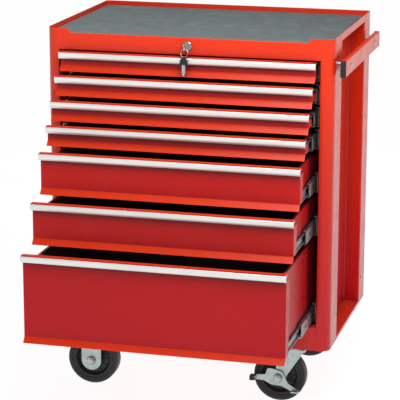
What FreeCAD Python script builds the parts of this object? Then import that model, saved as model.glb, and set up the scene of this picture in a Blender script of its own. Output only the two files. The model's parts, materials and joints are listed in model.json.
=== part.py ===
import FreeCAD, Part
import math
import os

# Rolling tool cabinet: a sheet steel body with seven drawers on ball-bearing slides,
# a central lock, a side push bar and four 125 mm casters.
#
# Everything is drawn in cabinet coordinates, in millimetres: x = 0 on the middle of the
# cabinet, y = 0 on the face of its front frame (the drawers open towards -y) and z = 0 on
# the floor. The drawers are drawn shut and then pulled out by DRAWER_OPEN, which is how
# the cabinet stands at rest. On export every piece moves by the same amount, which puts
# the origin at the bottom centre of the box around the whole cabinet.

# ---------------------------------------------------------------- driving dimensions
BODY_WIDTH = 680.0
BODY_DEPTH = 465.0
BODY_BOTTOM = 151.0
BODY_TOP = 884.0
BODY_SHEET = 1.2
CORNER_RADIUS = 25.0
BEND_RADIUS = 3.0

OPENING_HALF_WIDTH = 308.5
OPENING_BOTTOM = 207.5
OPENING_TOP = 835.5
POST_DEPTH_FRONT = 98.0
POST_DEPTH_REAR = 74.0
RECESS_DEPTH = 39.0
RECESS_LEDGE_Z = 158.0
REAR_RETURN = 20.0

RIM_HEIGHT = 16.0
RAIL_DROP = 10.0
RAIL_NOTCH_X = 287.0
RAIL_NOTCH_RUN = 6.0
MAT_THICKNESS = 3.0
MAT_TOP_BELOW_RIM = 12.0

DRAWER_TOPS = [831.5, 779.5, 727.5, 675.5, 623.5, 521.0, 418.5]
DRAWER_OPEN = [12.0, 43.0, 79.0, 112.0, 162.5, 222.0, 292.0]
DRAWER_TRAVEL = 360.0
DRAWER_SHEET = 1.0
FRONT_HALF_WIDTH = 301.0
TRAY_HALF_WIDTH = 287.0
TRAY_DEPTH = 422.0
TRAY_TOP_DROP = 14.0
TRAY_BOTTOM_RISE = 9.0
LIP_RISE = 8.0
LIP_HEIGHT = 13.0
LIP_FLARE = 10.0
SIDE_RETURN = 30.0
HEM_WIDTH = 6.0
HEM_THICKNESS = 2.4
TRIM_HALF_WIDTH = 303.0
TRIM_HEIGHT = 15.3
TRIM_DEPTH = 13.0
TRIM_WALL = 1.6

SLIDE_FRONT_Y = 42.0
SLIDE_LENGTH = 380.0
SLIDE_RISE = 23.0
SLIDE_WIDTH = 12.7
SLIDE_SHEET = 1.3

LOCK_Z = 855.0
RUNNING_GAP = 0.05
PLUG_RADIUS = 7.0
PLUG_FRONT_Y = -4.4
BARREL_RADIUS = 9.0
BARREL_LENGTH = 24.0
BEZEL_RADIUS = 11.0
BEZEL_DEPTH = 4.0
BEZEL_BEVEL = 1.2
LOCK_NUT_RADIUS = 12.5
LOCK_NUT_DEPTH = 4.0
ROD_RADIUS = 4.0
CRANK_RADIUS = 8.0
CRANK_Y = 436.0
CRANK_SHEET = 4.0
CRANK_PIN_RADIUS = 2.5
CRANK_PIN_LENGTH = 12.0
BRACKET_Y = 428.0
BRACKET_SHEET = 2.0
LOCK_BAR_Y = 446.0
LOCK_BAR_SHEET = 2.0
LOCK_BAR_HALF_WIDTH = 12.0
LOCK_BAR_TOP = 855.0
LOCK_BAR_BOTTOM = 290.0
LOCK_STRAP_ZS = [300.0, 430.0, 540.0]
LOCK_STRAP_HEIGHT = 12.0
LOCK_STRAP_SHEET = 1.5
CATCH_DEPTH = 12.0
CATCH_REACH = 16.0
CATCH_HALF_WIDTH = 15.0
CATCH_SHEET = 1.2
KEY_BOW_RADIUS = 11.0
KEY_BOW_Y = -19.0
KEY_RING_HOLE_Y = -25.0
KEY_RING_HOLE_RADIUS = 3.5

HANDLE_X = 353.0
HANDLE_THICKNESS = 12.0
HANDLE_HEIGHT = 37.5
HANDLE_BOTTOM = 797.5
HANDLE_FRONT_Y = 12.0
HANDLE_REAR_Y = 455.0
HANDLE_WALL = 1.5
HANDLE_CORNER = 2.0
HANDLE_SCREW_YS = [80.0, 402.0]
HANDLE_SCREW_RADIUS = 3.0
SCREW_HOLE_RADIUS = 3.3
SCREW_HEAD_RADIUS = 6.5
SCREW_HEAD_HEIGHT = 3.0
SCREW_DOME_RADIUS = 8.0
SCREW_NUT_RADIUS = 5.5
SCREW_NUT_DEPTH = 5.0
SPACER_RADIUS = 8.0
CAP_DEPTH = 2.0
CAP_OVERHANG = 0.5
CAP_PLUG_LENGTH = 12.0

WHEEL_RADIUS = 62.5
WHEEL_WIDTH = 32.0
FIXED_CASTER_X = -255.0
SWIVEL_CASTER_X = 250.0
SWIVEL_TRAIL = 38.0
CASTER_YS = {"front": 72.0, "rear": 408.0}
FORK_INNER = 25.0
FORK_SHEET = 3.0
FORK_TOP_HALF = 25.0
FIXED_FOOT_RADIUS = 24.5
SWIVEL_FOOT_RADIUS = 16.0
CROWN_BOTTOM = 129.0
CROWN_SHEET = 5.0
AXLE_RADIUS = 5.0
AXLE_HOLE_GAP = 0.2
AXLE_HEAD_RADIUS = 9.5
AXLE_HEAD_HEIGHT = 4.0
AXLE_NUT_RADIUS = 9.0
AXLE_NUT_DEPTH = 6.0
AXLE_END_LENGTH = 3.0
CASTER_PLATE = 3.0
PLATE_HALF_LENGTH = 47.5
PLATE_HALF_WIDTH = 34.0
PLATE_CORNER = 6.0
PLATE_HOLE_RADIUS = 4.25
PLATE_HOLE_X = 37.5
PLATE_HOLE_Y = 24.0
UPPER_RACE_RADIUS = 22.0
UPPER_RACE_HEIGHT = 4.0
LOWER_RACE_RADIUS = 27.0
LOWER_RACE_TOP = 143.5
KINGPIN_RADIUS = 6.0
KINGPIN_FOOT_RADIUS = 9.5
KINGPIN_BOTTOM = 126.5
KINGPIN_FOOT_HEIGHT = 2.0
PAN_SHEET = 2.0
PAN_GAP = 0.8
PAN_PAD_HALF_LENGTH = 44.0
PAN_PAD_HALF_WIDTH = 38.0
BRAKE_SHEET = 3.0
BRAKE_FACE = 4.5
BRAKE_PAD_REACH = 12.0

# ---------------------------------------------------------------- values that follow
HALF_WIDTH = BODY_WIDTH / 2
RECESS_X = HALF_WIDTH - RECESS_DEPTH
RECESS_FRONT_Y = POST_DEPTH_FRONT
RECESS_REAR_Y = BODY_DEPTH - POST_DEPTH_REAR
TRAY_FLOOR_Z = BODY_TOP - RIM_HEIGHT
DRAWER_COUNT = len(DRAWER_TOPS)
SLOT_BOTTOMS = DRAWER_TOPS[1:] + [OPENING_BOTTOM]
HANDLE_MID_Z = HANDLE_BOTTOM + HANDLE_HEIGHT / 2
LEG_OUTSIDE = FORK_INNER + FORK_SHEET
PLATE_BOTTOM = BODY_BOTTOM - CASTER_PLATE
X_MAX = HANDLE_X + HANDLE_THICKNESS + SCREW_HEAD_HEIGHT
Y_MIN = -TRIM_DEPTH - DRAWER_OPEN[-1]
ORIGIN = FreeCAD.Vector((X_MAX - HALF_WIDTH) / 2, (BODY_DEPTH + Y_MIN) / 2, 0.0)
X_AXIS = FreeCAD.Vector(1, 0, 0)
Y_AXIS = FreeCAD.Vector(0, 1, 0)
Z_AXIS = FreeCAD.Vector(0, 0, 1)


# ---------------------------------------------------------------- drawing helpers
def box(x0, x1, y0, y1, z0, z1):
    """A block between two corners."""
    return Part.makeBox(x1 - x0, y1 - y0, z1 - z0, FreeCAD.Vector(x0, y0, z0))


def rod(radius, start, axis, length):
    """A solid cylinder from a point along an axis."""
    return Part.makeCylinder(radius, length, FreeCAD.Vector(*start), axis)


def ring(outer, inner, start, axis, length):
    """A tube from a point along an axis."""
    return rod(outer, start, axis, length).cut(rod(inner, start, axis, length))


def joined(shapes):
    """One clean solid from several that touch."""
    return shapes[0].fuse(shapes[1:]).removeSplitter()


def group(shapes):
    """Several separate solids in one node."""
    return Part.makeCompound(shapes)


def mirrored(shape):
    """The same piece on the other side of the cabinet."""
    return shape.mirror(FreeCAD.Vector(0, 0, 0), X_AXIS)


def moved(shape, dx=0.0, dy=0.0, dz=0.0):
    """A copy of a piece in another place."""
    copy = shape.copy()
    copy.translate(FreeCAD.Vector(dx, dy, dz))
    return copy


def lift(plane, u, v):
    """A flat point (u, v) on the xy, yz or xz plane."""
    if plane == "xy":
        return FreeCAD.Vector(u, v, 0)
    if plane == "yz":
        return FreeCAD.Vector(0, u, v)
    return FreeCAD.Vector(u, 0, v)


def turn_at(points, i):
    """Signed angle by which a path turns at one of its points, left turns positive."""
    a, b, c = points[i - 1], points[i], points[i + 1]
    first = math.atan2(b[1] - a[1], b[0] - a[0])
    second = math.atan2(c[1] - b[1], c[0] - b[0])
    return math.remainder(second - first, 2 * math.pi)


def path_edges(plane, points, radii):
    """Edges along a path whose corners are rounded by the given radii."""
    edges = []
    last = points[0]
    for i in range(1, len(points) - 1):
        corner = points[i]
        if radii[i] <= 0:
            if math.dist(last, corner) > 1e-6:
                edges.append(Part.LineSegment(lift(plane, *last), lift(plane, *corner)).toShape())
            last = corner
            continue
        turn = turn_at(points, i)
        reach = radii[i] * math.tan(abs(turn) / 2)
        ends = []
        for other in (points[i - 1], points[i + 1]):
            far = math.dist(corner, other)
            ends.append([corner[k] + (other[k] - corner[k]) * reach / far for k in (0, 1)])
        middle = [(ends[0][k] + ends[1][k]) / 2 for k in (0, 1)]
        out = math.dist(corner, middle)
        to_arc = radii[i] / math.cos(turn / 2) - radii[i]
        top = [corner[k] + (middle[k] - corner[k]) * to_arc / out for k in (0, 1)]
        if math.dist(last, ends[0]) > 1e-6:
            edges.append(Part.LineSegment(lift(plane, *last), lift(plane, *ends[0])).toShape())
        arc = Part.Arc(lift(plane, *ends[0]), lift(plane, *top), lift(plane, *ends[1]))
        edges.append(arc.toShape())
        last = ends[1]
    edges.append(Part.LineSegment(lift(plane, *last), lift(plane, *points[-1])).toShape())
    return edges


def beside(points, distance):
    """The path that runs a distance to the left of another, with mitred corners."""
    out = []
    for i, point in enumerate(points):
        sides = []
        for a, b in ((i - 1, i), (i, i + 1)):
            if 0 <= a and b < len(points):
                run = [points[b][k] - points[a][k] for k in (0, 1)]
                size = math.hypot(*run)
                sides.append((-run[1] / size, run[0] / size))
        normal = [sum(s[k] for s in sides) / len(sides) for k in (0, 1)]
        scale = distance / (normal[0] ** 2 + normal[1] ** 2)
        out.append((point[0] + normal[0] * scale, point[1] + normal[1] * scale))
    return out


def folded_sheet(plane, points, radii, thickness, start, length):
    """Sheet metal bent along a path and drawn out square to the path's plane.

    The path is one face of the sheet, and its thickness lies to the left of the path.
    """
    inner_radii = []
    for i, radius in enumerate(radii):
        left = radius > 0 and turn_at(points, i) > 0
        inner_radii.append(0 if radius <= 0 else radius + (-thickness if left else thickness))
    inner = beside(points, thickness)
    near = path_edges(plane, points, radii)
    far = path_edges(plane, inner, inner_radii)
    caps = [
        Part.LineSegment(lift(plane, *points[-1]), lift(plane, *inner[-1])).toShape(),
        Part.LineSegment(lift(plane, *inner[0]), lift(plane, *points[0])).toShape(),
    ]
    wire = Part.Wire(Part.__sortEdges__(near + far + caps))
    return drawn_out(plane, Part.Face(wire), start, length)


def plate(plane, points, radii, start, length):
    """A flat plate with rounded corners, drawn out square to its plane."""
    middle = tuple((points[0][k] + points[-1][k]) / 2 for k in (0, 1))
    loop = [middle] + list(points) + [middle]
    edges = path_edges(plane, loop, [0] + list(radii) + [0])
    return drawn_out(plane, Part.Face(Part.Wire(Part.__sortEdges__(edges))), start, length)


def drawn_out(plane, face, start, length):
    """A face on a base plane moved to its start and drawn out into a solid."""
    axis = {"xy": Z_AXIS, "yz": X_AXIS, "xz": Y_AXIS}[plane]
    face.translate(axis * start)
    return face.extrude(axis * length)


def save(name, shape):
    """Write one node in the cabinet's own frame."""
    out = shape.copy()
    out.translate(ORIGIN * -1)
    solids = len(out.Solids)
    assert out.isValid() and solids > 0, name
    out.exportStep(f"parts/{name}.step")
    print(f"{name}: {solids} solid(s), {out.Volume / 1000:.1f} cm3")


# ---------------------------------------------------------------- the cabinet's body
def side_panel():
    """The right side: a front post, a deep recessed panel and a rear post, folded in one.

    The outer skin of both posts and a strip between them stand up above the recess as
    the rim of the top tray, and a narrow ledge closes the recess at the bottom.
    """
    return_depth = 22.0
    front = [(OPENING_HALF_WIDTH, return_depth), (OPENING_HALF_WIDTH, 0.0), (HALF_WIDTH, 0.0)]
    recess = [
        (HALF_WIDTH, RECESS_FRONT_Y),
        (RECESS_X, RECESS_FRONT_Y),
        (RECESS_X, RECESS_REAR_Y),
        (HALF_WIDTH, RECESS_REAR_Y),
    ]
    rear = [(HALF_WIDTH, BODY_DEPTH), (HALF_WIDTH - REAR_RETURN, BODY_DEPTH)]
    points = front + recess + rear
    bend = BEND_RADIUS
    radii = [0, bend, CORNER_RADIUS, bend, bend, bend, bend, bend, 0]
    height = TRAY_FLOOR_Z - BODY_BOTTOM
    folds = folded_sheet("xy", points, radii, BODY_SHEET, BODY_BOTTOM, height)
    skin_points = front[1:] + rear
    skin_radii = [0, CORNER_RADIUS, bend, 0]
    skin = folded_sheet("xy", skin_points, skin_radii, BODY_SHEET, TRAY_FLOOR_Z, RIM_HEIGHT)
    inside = RECESS_X - BODY_SHEET
    front_y = RECESS_FRONT_Y - BODY_SHEET
    rear_y = RECESS_REAR_Y + BODY_SHEET
    ledge = box(inside, HALF_WIDTH, front_y, rear_y, RECESS_LEDGE_Z - BODY_SHEET, RECESS_LEDGE_Z)
    edge = box(HALF_WIDTH - BODY_SHEET, HALF_WIDTH, front_y, rear_y, BODY_BOTTOM, RECESS_LEDGE_Z)
    return joined([folds, skin, ledge, edge])


def side_panel_with_bar_holes():
    """The right side panel, drilled for the push bar's screws."""
    return side_panel().cut(group([bar_screw_hole(y) for y in HANDLE_SCREW_YS]))


def bar_screw_hole(y):
    """The clearance hole that a push bar screw passes through."""
    start = (RECESS_X + BEND_RADIUS, y, HANDLE_MID_Z)
    return rod(SCREW_HOLE_RADIUS, start, X_AXIS, HANDLE_X + HANDLE_THICKNESS - RECESS_X)


def front_top_rail():
    """The rail over the drawers. Its top edge is lower between two sloping notches."""
    low = BODY_TOP - RAIL_DROP
    inner = RAIL_NOTCH_X - RAIL_NOTCH_RUN
    width = OPENING_HALF_WIDTH
    top_flange_depth = 9.0
    bottom_flange_depth = 20.0
    outline = [
        (-width, OPENING_TOP),
        (width, OPENING_TOP),
        (width, BODY_TOP),
        (RAIL_NOTCH_X, BODY_TOP),
        (inner, low),
        (-inner, low),
        (-RAIL_NOTCH_X, BODY_TOP),
        (-width, BODY_TOP),
    ]
    face = plate("xz", outline, [0, 0, 0, 2, 2, 2, 2, 0], 0.0, BODY_SHEET)
    top_flange = box(-inner, inner, 0.0, top_flange_depth, low - BODY_SHEET, low)
    over_opening = OPENING_TOP + BODY_SHEET
    bottom_flange = box(-width, width, 0.0, bottom_flange_depth, OPENING_TOP, over_opening)
    rail = joined([face, top_flange, bottom_flange])
    return rail.cut(rod(BARREL_RADIUS + 2 * RUNNING_GAP, (0.0, -1.0, LOCK_Z), Y_AXIS, 4.0))


def base_rail():
    """The rail under the drawers, with a flange turned back along its top and bottom."""
    depth = 26.0
    points = [
        (depth, OPENING_BOTTOM),
        (0.0, OPENING_BOTTOM),
        (0.0, BODY_BOTTOM),
        (depth, BODY_BOTTOM),
    ]
    width = OPENING_HALF_WIDTH
    return folded_sheet("yz", points, [0, 2.0, 2.0, 0], BODY_SHEET, -width, 2 * width)


def back_panel():
    """The flat back, with three straps welded on that guide the lock bar."""
    half = HALF_WIDTH - REAR_RETURN - 0.1
    inner_y = BODY_DEPTH - BODY_SHEET
    pieces = [box(-half, half, inner_y, BODY_DEPTH, BODY_BOTTOM, BODY_TOP)]
    front_y = LOCK_BAR_Y - 3.0
    inner_x = LOCK_BAR_HALF_WIDTH + 0.5
    outer_x = inner_x + LOCK_STRAP_SHEET
    bridge_y = front_y + LOCK_STRAP_SHEET
    for low in LOCK_STRAP_ZS:
        high = low + LOCK_STRAP_HEIGHT
        cheek = box(inner_x, outer_x, front_y, inner_y, low, high)
        pieces += [cheek, mirrored(cheek), box(-outer_x, outer_x, front_y, bridge_y, low, high)]
    return joined(pieces)


def top_tray():
    """The sheet that closes the top, with the rear bracket that carries the lock rod."""
    half = HALF_WIDTH - BODY_SHEET - 0.1
    front = BODY_SHEET + 0.1
    rear = BODY_DEPTH - BODY_SHEET - 0.1
    outline = [(-half, front), (half, front), (half, rear), (-half, rear)]
    floor = plate("xy", outline, [CORNER_RADIUS, CORNER_RADIUS, 2, 2], TRAY_FLOOR_Z, BODY_SHEET)
    half_bracket = 12.0
    under_rod = LOCK_Z - 2 * ROD_RADIUS
    bracket_rear = BRACKET_Y + BRACKET_SHEET
    bracket = box(-half_bracket, half_bracket, BRACKET_Y, bracket_rear, under_rod, TRAY_FLOOR_Z)
    hole = rod(ROD_RADIUS + RUNNING_GAP, (0.0, BRACKET_Y - 1.0, LOCK_Z), Y_AXIS, 4.0)
    return joined([floor, bracket]).cut(hole)


def top_mat():
    """The rubber mat that lies in the top tray."""
    half = HALF_WIDTH - BODY_SHEET - 1.0
    front = 10.0
    rear = BODY_DEPTH - 3.0
    outline = [(-half, front), (half, front), (half, rear), (-half, rear)]
    start = TRAY_FLOOR_Z + BODY_SHEET
    return plate("xy", outline, [18.0, 18.0, 3.0, 3.0], start, MAT_THICKNESS)


def base_pan():
    """The floor plate that ties the sides together. It stands on four pads, over the
    caster plates, and the casters' bolt holes go through both."""
    inside = RECESS_X - BODY_SHEET - PAN_GAP
    wide = HALF_WIDTH - BODY_SHEET - PAN_GAP
    low = BODY_BOTTOM + BODY_SHEET
    high = low + PAN_SHEET
    front_y = 26.3
    rear_y = BODY_DEPTH - BODY_SHEET - PAN_GAP
    post_front = RECESS_FRONT_Y - BODY_SHEET - PAN_GAP
    post_rear = RECESS_REAR_Y + BODY_SHEET + PAN_GAP
    pieces = [
        box(-inside, inside, front_y, rear_y, low, high),
        box(-wide, wide, front_y, post_front, low, high),
        box(-wide, wide, post_rear, rear_y, low, high),
    ]
    holes = []
    for x, y in caster_places():
        x0, x1 = x - PAN_PAD_HALF_LENGTH, x + PAN_PAD_HALF_LENGTH
        y0, y1 = y - PAN_PAD_HALF_WIDTH, y + PAN_PAD_HALF_WIDTH
        pieces.append(box(x0, x1, y0, y1, BODY_BOTTOM, low))
        holes += caster_bolt_holes(x, y)
    return joined(pieces).cut(group(holes))


# ---------------------------------------------------------------- drawers and slides
def drawer_front(top, slot_bottom):
    """The folded face of a drawer: a flat panel, a hemmed top flange, a flared bottom lip
    and a return down each side."""
    lip = slot_bottom + LIP_RISE
    flat = lip + LIP_HEIGHT
    half = FRONT_HALF_WIDTH
    points = [(-LIP_FLARE, lip), (0.0, flat), (0.0, top + HEM_THICKNESS)]
    face = folded_sheet("yz", points[::-1], [0, 4.0, 0], DRAWER_SHEET, -half, 2 * half)
    flange = box(-half, half, -TRIM_DEPTH + 1.5, DRAWER_SHEET, top, top + HEM_THICKNESS)
    side = box(half - DRAWER_SHEET, half, 0.0, SIDE_RETURN, flat, top - TRIM_HEIGHT)
    return [face, flange, side, mirrored(side)]


def drawer_tray(top, slot_bottom):
    """The open box behind the face, with a hem along both sides and the tab at the rear
    that the lock bar catches."""
    half = TRAY_HALF_WIDTH
    wall = DRAWER_SHEET
    low = slot_bottom + TRAY_BOTTOM_RISE
    high = top - TRAY_TOP_DROP
    side = box(half - wall, half, wall, TRAY_DEPTH, low, high)
    hem = box(half - HEM_WIDTH, half, wall, TRAY_DEPTH - wall, high - HEM_THICKNESS, high)
    rear = box(-half, half, TRAY_DEPTH - wall, TRAY_DEPTH, low, high)
    floor = box(-half, half, 0.5, TRAY_DEPTH, low, low + wall)
    tab_low = high - CATCH_SHEET
    tab_end = TRAY_DEPTH + CATCH_REACH
    catch_y = tab_end - CATCH_SHEET
    wide = CATCH_HALF_WIDTH
    tab = box(-wide, wide, TRAY_DEPTH - wall, tab_end, tab_low, high)
    catch = box(-wide, wide, catch_y, tab_end, tab_low - CATCH_DEPTH, high)
    return [side, mirrored(side), hem, mirrored(hem), rear, floor, tab, catch]


def drawer_trim(top):
    """The aluminium pull along the top of a drawer: a face, a top wall that sits under
    the flange and a small hook along the bottom edge for the fingers."""
    half = TRIM_HALF_WIDTH
    low = top - TRIM_HEIGHT
    front = -TRIM_DEPTH
    hook_depth = 3.6
    hook_wall = 1.4
    outline = [
        (front, low),
        (front + hook_depth, low),
        (front + hook_depth, low + hook_wall),
        (front + TRIM_WALL, low + hook_wall),
        (front + TRIM_WALL, top - TRIM_WALL),
        (0.0, top - TRIM_WALL),
        (0.0, top),
        (front, top),
    ]
    return plate("yz", outline, [0.8, 0, 0, 0, 0, 0, 0, 0.8], -half, 2 * half)


def channel(inner_u, outer_u, half_height, web_outside, y0, length, centre_z):
    """One right-hand slide member: a C-section with rounded bends, drawn along y.

    inner_u and outer_u are its reach from the drawer's side wall. The web is on the
    cabinet's side when web_outside is true, and on the drawer's side when it is false.
    """
    near = TRAY_HALF_WIDTH + inner_u
    far = TRAY_HALF_WIDTH + outer_u
    tips, web = (near, far) if web_outside else (far, near)
    low = centre_z - half_height
    high = centre_z + half_height
    points = [(tips, low), (web, low), (web, high), (tips, high)]
    if not web_outside:
        points = points[::-1]
    return folded_sheet("xz", points, [0, 2.0, 2.0, 0], SLIDE_SHEET, y0, length)


def slide_centre(i):
    """Height of the middle of drawer i's slides."""
    return SLOT_BOTTOMS[i] + SLIDE_RISE


def runners(i):
    """The slide members screwed to drawer i's sides."""
    z = slide_centre(i)
    one = channel(0.0, 6.0, 11.0, False, SLIDE_FRONT_Y, SLIDE_LENGTH, z)
    return [one, mirrored(one)]


def mid_slides(i):
    """The middle slide members of drawer i, which travel half as far as the drawer."""
    z = slide_centre(i)
    one = channel(3.0, 10.5, 16.0, True, SLIDE_FRONT_Y, SLIDE_LENGTH, z)
    return [one, mirrored(one)]


def slide_channels():
    """The slide members fixed inside the cabinet, two for each drawer."""
    out = []
    for i in range(DRAWER_COUNT):
        z = slide_centre(i)
        one = channel(4.0, SLIDE_WIDTH, 22.5, True, SLIDE_FRONT_Y, SLIDE_LENGTH, z)
        out += [one, mirrored(one)]
    return out


# ---------------------------------------------------------------- lock
def hexagon(radius, x, z, first_angle):
    """The six corners of a nut in the xz plane."""
    corners = []
    for k in range(6):
        angle = math.radians(60 * k + first_angle)
        corners.append((x + radius * math.cos(angle), z + radius * math.sin(angle)))
    return corners


def lock_cylinder():
    """The chrome barrel in the top rail, with its bevelled bezel and the nut behind."""
    barrel = rod(BARREL_RADIUS, (0.0, -1.0, LOCK_Z), Y_AXIS, BARREL_LENGTH + 1.0)
    flat_depth = BEZEL_DEPTH - BEZEL_BEVEL
    bezel = rod(BEZEL_RADIUS, (0.0, -flat_depth, LOCK_Z), Y_AXIS, flat_depth)
    front = FreeCAD.Vector(0.0, -BEZEL_DEPTH, LOCK_Z)
    bevel = Part.makeCone(BEZEL_RADIUS - BEZEL_BEVEL, BEZEL_RADIUS, BEZEL_BEVEL, front, Y_AXIS)
    outline = hexagon(LOCK_NUT_RADIUS, 0.0, LOCK_Z, 30)
    nut = plate("xz", outline, [0] * 6, BODY_SHEET, LOCK_NUT_DEPTH)
    body = joined([barrel, bezel, bevel, nut])
    bore = rod(PLUG_RADIUS + RUNNING_GAP, (0.0, -5.0, LOCK_Z), Y_AXIS, BARREL_LENGTH + 10.0)
    return body.cut(bore)


def crank_pin_place():
    """Where the crank's pin stands with the lock open, below and left of the rod."""
    reach = CRANK_RADIUS * math.sin(math.radians(45))
    return -reach, LOCK_Z - reach


def lock_plug():
    """The plug that the key turns, its rod to the back of the cabinet and its crank."""
    plug = rod(PLUG_RADIUS, (0.0, PLUG_FRONT_Y, LOCK_Z), Y_AXIS, BARREL_LENGTH - PLUG_FRONT_Y)
    rod_start = BARREL_LENGTH - 1.0
    rod_end = CRANK_Y + CRANK_SHEET
    shaft = rod(ROD_RADIUS, (0.0, rod_start, LOCK_Z), Y_AXIS, rod_end - rod_start)
    x, z = crank_pin_place()
    hub = rod(7.0, (0.0, CRANK_Y, LOCK_Z), Y_AXIS, CRANK_SHEET)
    eye = rod(4.5, (x, CRANK_Y, z), Y_AXIS, CRANK_SHEET)
    arm = box(-4.0, 4.0, CRANK_Y, rod_end, -CRANK_RADIUS, 0.0)
    arm.rotate(FreeCAD.Vector(0, 0, 0), Y_AXIS, 45.0)
    arm.translate(FreeCAD.Vector(0, 0, LOCK_Z))
    pin = rod(CRANK_PIN_RADIUS, (x, CRANK_Y + 2.0, z), Y_AXIS, CRANK_PIN_LENGTH)
    body = joined([plug, shaft, hub, eye, arm, pin])
    keyway = box(-1.3, 1.3, -5.0, 3.0, LOCK_Z - 4.4, LOCK_Z + 4.4)
    return body.cut(keyway)


def lock_bar():
    """The upright bar behind the drawers. The crank lifts it, and its seven hooks then
    stand in front of the catches of the shut drawers."""
    wide = LOCK_BAR_HALF_WIDTH
    rear = LOCK_BAR_Y + LOCK_BAR_SHEET
    bar = box(-wide, wide, LOCK_BAR_Y, rear, LOCK_BAR_BOTTOM, LOCK_BAR_TOP)
    x, z = crank_pin_place()
    reach = CRANK_PIN_RADIUS + 0.4
    outline = [
        (-CRANK_RADIUS - reach, z - reach),
        (x + reach, z - reach),
        (x + reach, z + reach),
        (-CRANK_RADIUS - reach, z + reach),
    ]
    slot = plate("xz", outline, [reach - 0.01] * 4, LOCK_BAR_Y - 1.0, 4.0)
    pieces = [bar.cut(slot)]
    hook_half = 6.0
    hook_sheet = 3.0
    hook_y = TRAY_DEPTH + 6.0
    for top in DRAWER_TOPS:
        catch_bottom = top - TRAY_TOP_DROP - CATCH_SHEET - CATCH_DEPTH
        low = catch_bottom - 16.0
        high = catch_bottom - 1.5
        pieces.append(box(-hook_half, hook_half, hook_y, LOCK_BAR_Y, low, low + hook_sheet))
        pieces.append(box(-hook_half, hook_half, hook_y, hook_y + hook_sheet, low, high))
    return joined(pieces)


def key():
    """The key standing in the plug, with a round bow that has a hole for a ring."""
    half_sheet = 1.6
    shoulder_front = KEY_BOW_Y + 9.0
    bow_start = (-half_sheet, KEY_BOW_Y, LOCK_Z)
    blade = box(-1.1, 1.1, shoulder_front, 2.8, LOCK_Z - 4.0, LOCK_Z + 4.0)
    bow = rod(KEY_BOW_RADIUS, bow_start, X_AXIS, 2 * half_sheet)
    hole = rod(KEY_RING_HOLE_RADIUS, (-3.0, KEY_RING_HOLE_Y, LOCK_Z), X_AXIS, 6.0)
    shoulder_rear = PLUG_FRONT_Y - 0.2
    low, high = LOCK_Z - 6.0, LOCK_Z + 6.0
    shoulder = box(-half_sheet, half_sheet, shoulder_front, shoulder_rear, low, high)
    return joined([blade, bow, shoulder]).cut(hole)


# ---------------------------------------------------------------- push bar
def bar_section(inset):
    """The bar's rectangular outline in the xz plane, made smaller by an inset."""
    x0 = HANDLE_X + inset
    x1 = HANDLE_X + HANDLE_THICKNESS - inset
    z0 = HANDLE_BOTTOM + inset
    z1 = HANDLE_BOTTOM + HANDLE_HEIGHT - inset
    return [(x0, z0), (x1, z0), (x1, z1), (x0, z1)]


def handle_bar():
    """The rectangular tube that the cabinet is pushed by."""
    y0 = HANDLE_FRONT_Y + CAP_DEPTH
    length = HANDLE_REAR_Y - CAP_DEPTH - y0
    tube = plate("xz", bar_section(0.0), [HANDLE_CORNER] * 4, y0, length)
    inner_corner = HANDLE_CORNER - HANDLE_WALL
    hollow = plate("xz", bar_section(HANDLE_WALL), [inner_corner] * 4, y0 - 1.0, length + 2.0)
    return tube.cut(hollow).cut(group([bar_screw_hole(y) for y in HANDLE_SCREW_YS]))


def handle_end_caps():
    """The two black plugs that close the tube."""
    cover = bar_section(-CAP_OVERHANG)
    stub = bar_section(HANDLE_WALL + 0.2)
    caps = []
    for cover_y, stub_y in (
        (HANDLE_FRONT_Y, HANDLE_FRONT_Y + CAP_DEPTH),
        (HANDLE_REAR_Y - CAP_DEPTH, HANDLE_REAR_Y - CAP_DEPTH - CAP_PLUG_LENGTH),
    ):
        outside = plate("xz", cover, [HANDLE_CORNER] * 4, cover_y, CAP_DEPTH)
        inside = plate("xz", stub, [0.3] * 4, stub_y, CAP_PLUG_LENGTH)
        caps.append(joined([outside, inside]))
    return caps


def handle_spacers():
    """The steel sleeves that hold the bar off the posts."""
    length = HANDLE_X - HALF_WIDTH
    sleeves = []
    for y in HANDLE_SCREW_YS:
        start = (HALF_WIDTH, y, HANDLE_MID_Z)
        sleeves.append(ring(SPACER_RADIUS, SCREW_HOLE_RADIUS, start, X_AXIS, length))
    return sleeves


def handle_screws():
    """The dome-headed screws through the bar, each with its nut inside the post."""
    z = HANDLE_MID_Z
    outer = HANDLE_X + HANDLE_THICKNESS
    tip = HALF_WIDTH - 10.0
    nut_x = HALF_WIDTH - BODY_SHEET - SCREW_NUT_DEPTH
    dome_x = outer + SCREW_HEAD_HEIGHT - SCREW_DOME_RADIUS
    screws = []
    for y in HANDLE_SCREW_YS:
        shank = rod(HANDLE_SCREW_RADIUS, (tip, y, z), X_AXIS, outer + 0.5 - tip)
        dome = Part.makeSphere(SCREW_DOME_RADIUS, FreeCAD.Vector(dome_x, y, z))
        head = dome.common(rod(SCREW_HEAD_RADIUS, (outer, y, z), X_AXIS, SCREW_HEAD_HEIGHT + 1.0))
        nut = rod(SCREW_NUT_RADIUS, (nut_x, y, z), X_AXIS, SCREW_NUT_DEPTH)
        screws.append(joined([shank, head, nut]))
    return screws


# ---------------------------------------------------------------- casters
def caster_places():
    """Where the four top plates are: the fixed ones on the left, the others on the right."""
    return [(x, y) for x in (FIXED_CASTER_X, SWIVEL_CASTER_X) for y in CASTER_YS.values()]


def caster_bolt_holes(x, y):
    """The four bolt holes of a caster, through its plate and the pan above."""
    holes = []
    for dx in (-PLATE_HOLE_X, PLATE_HOLE_X):
        for dy in (-PLATE_HOLE_Y, PLATE_HOLE_Y):
            start = (x + dx, y + dy, BODY_BOTTOM - 10.0)
            holes.append(rod(PLATE_HOLE_RADIUS, start, Z_AXIS, 20.0))
    return holes


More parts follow.
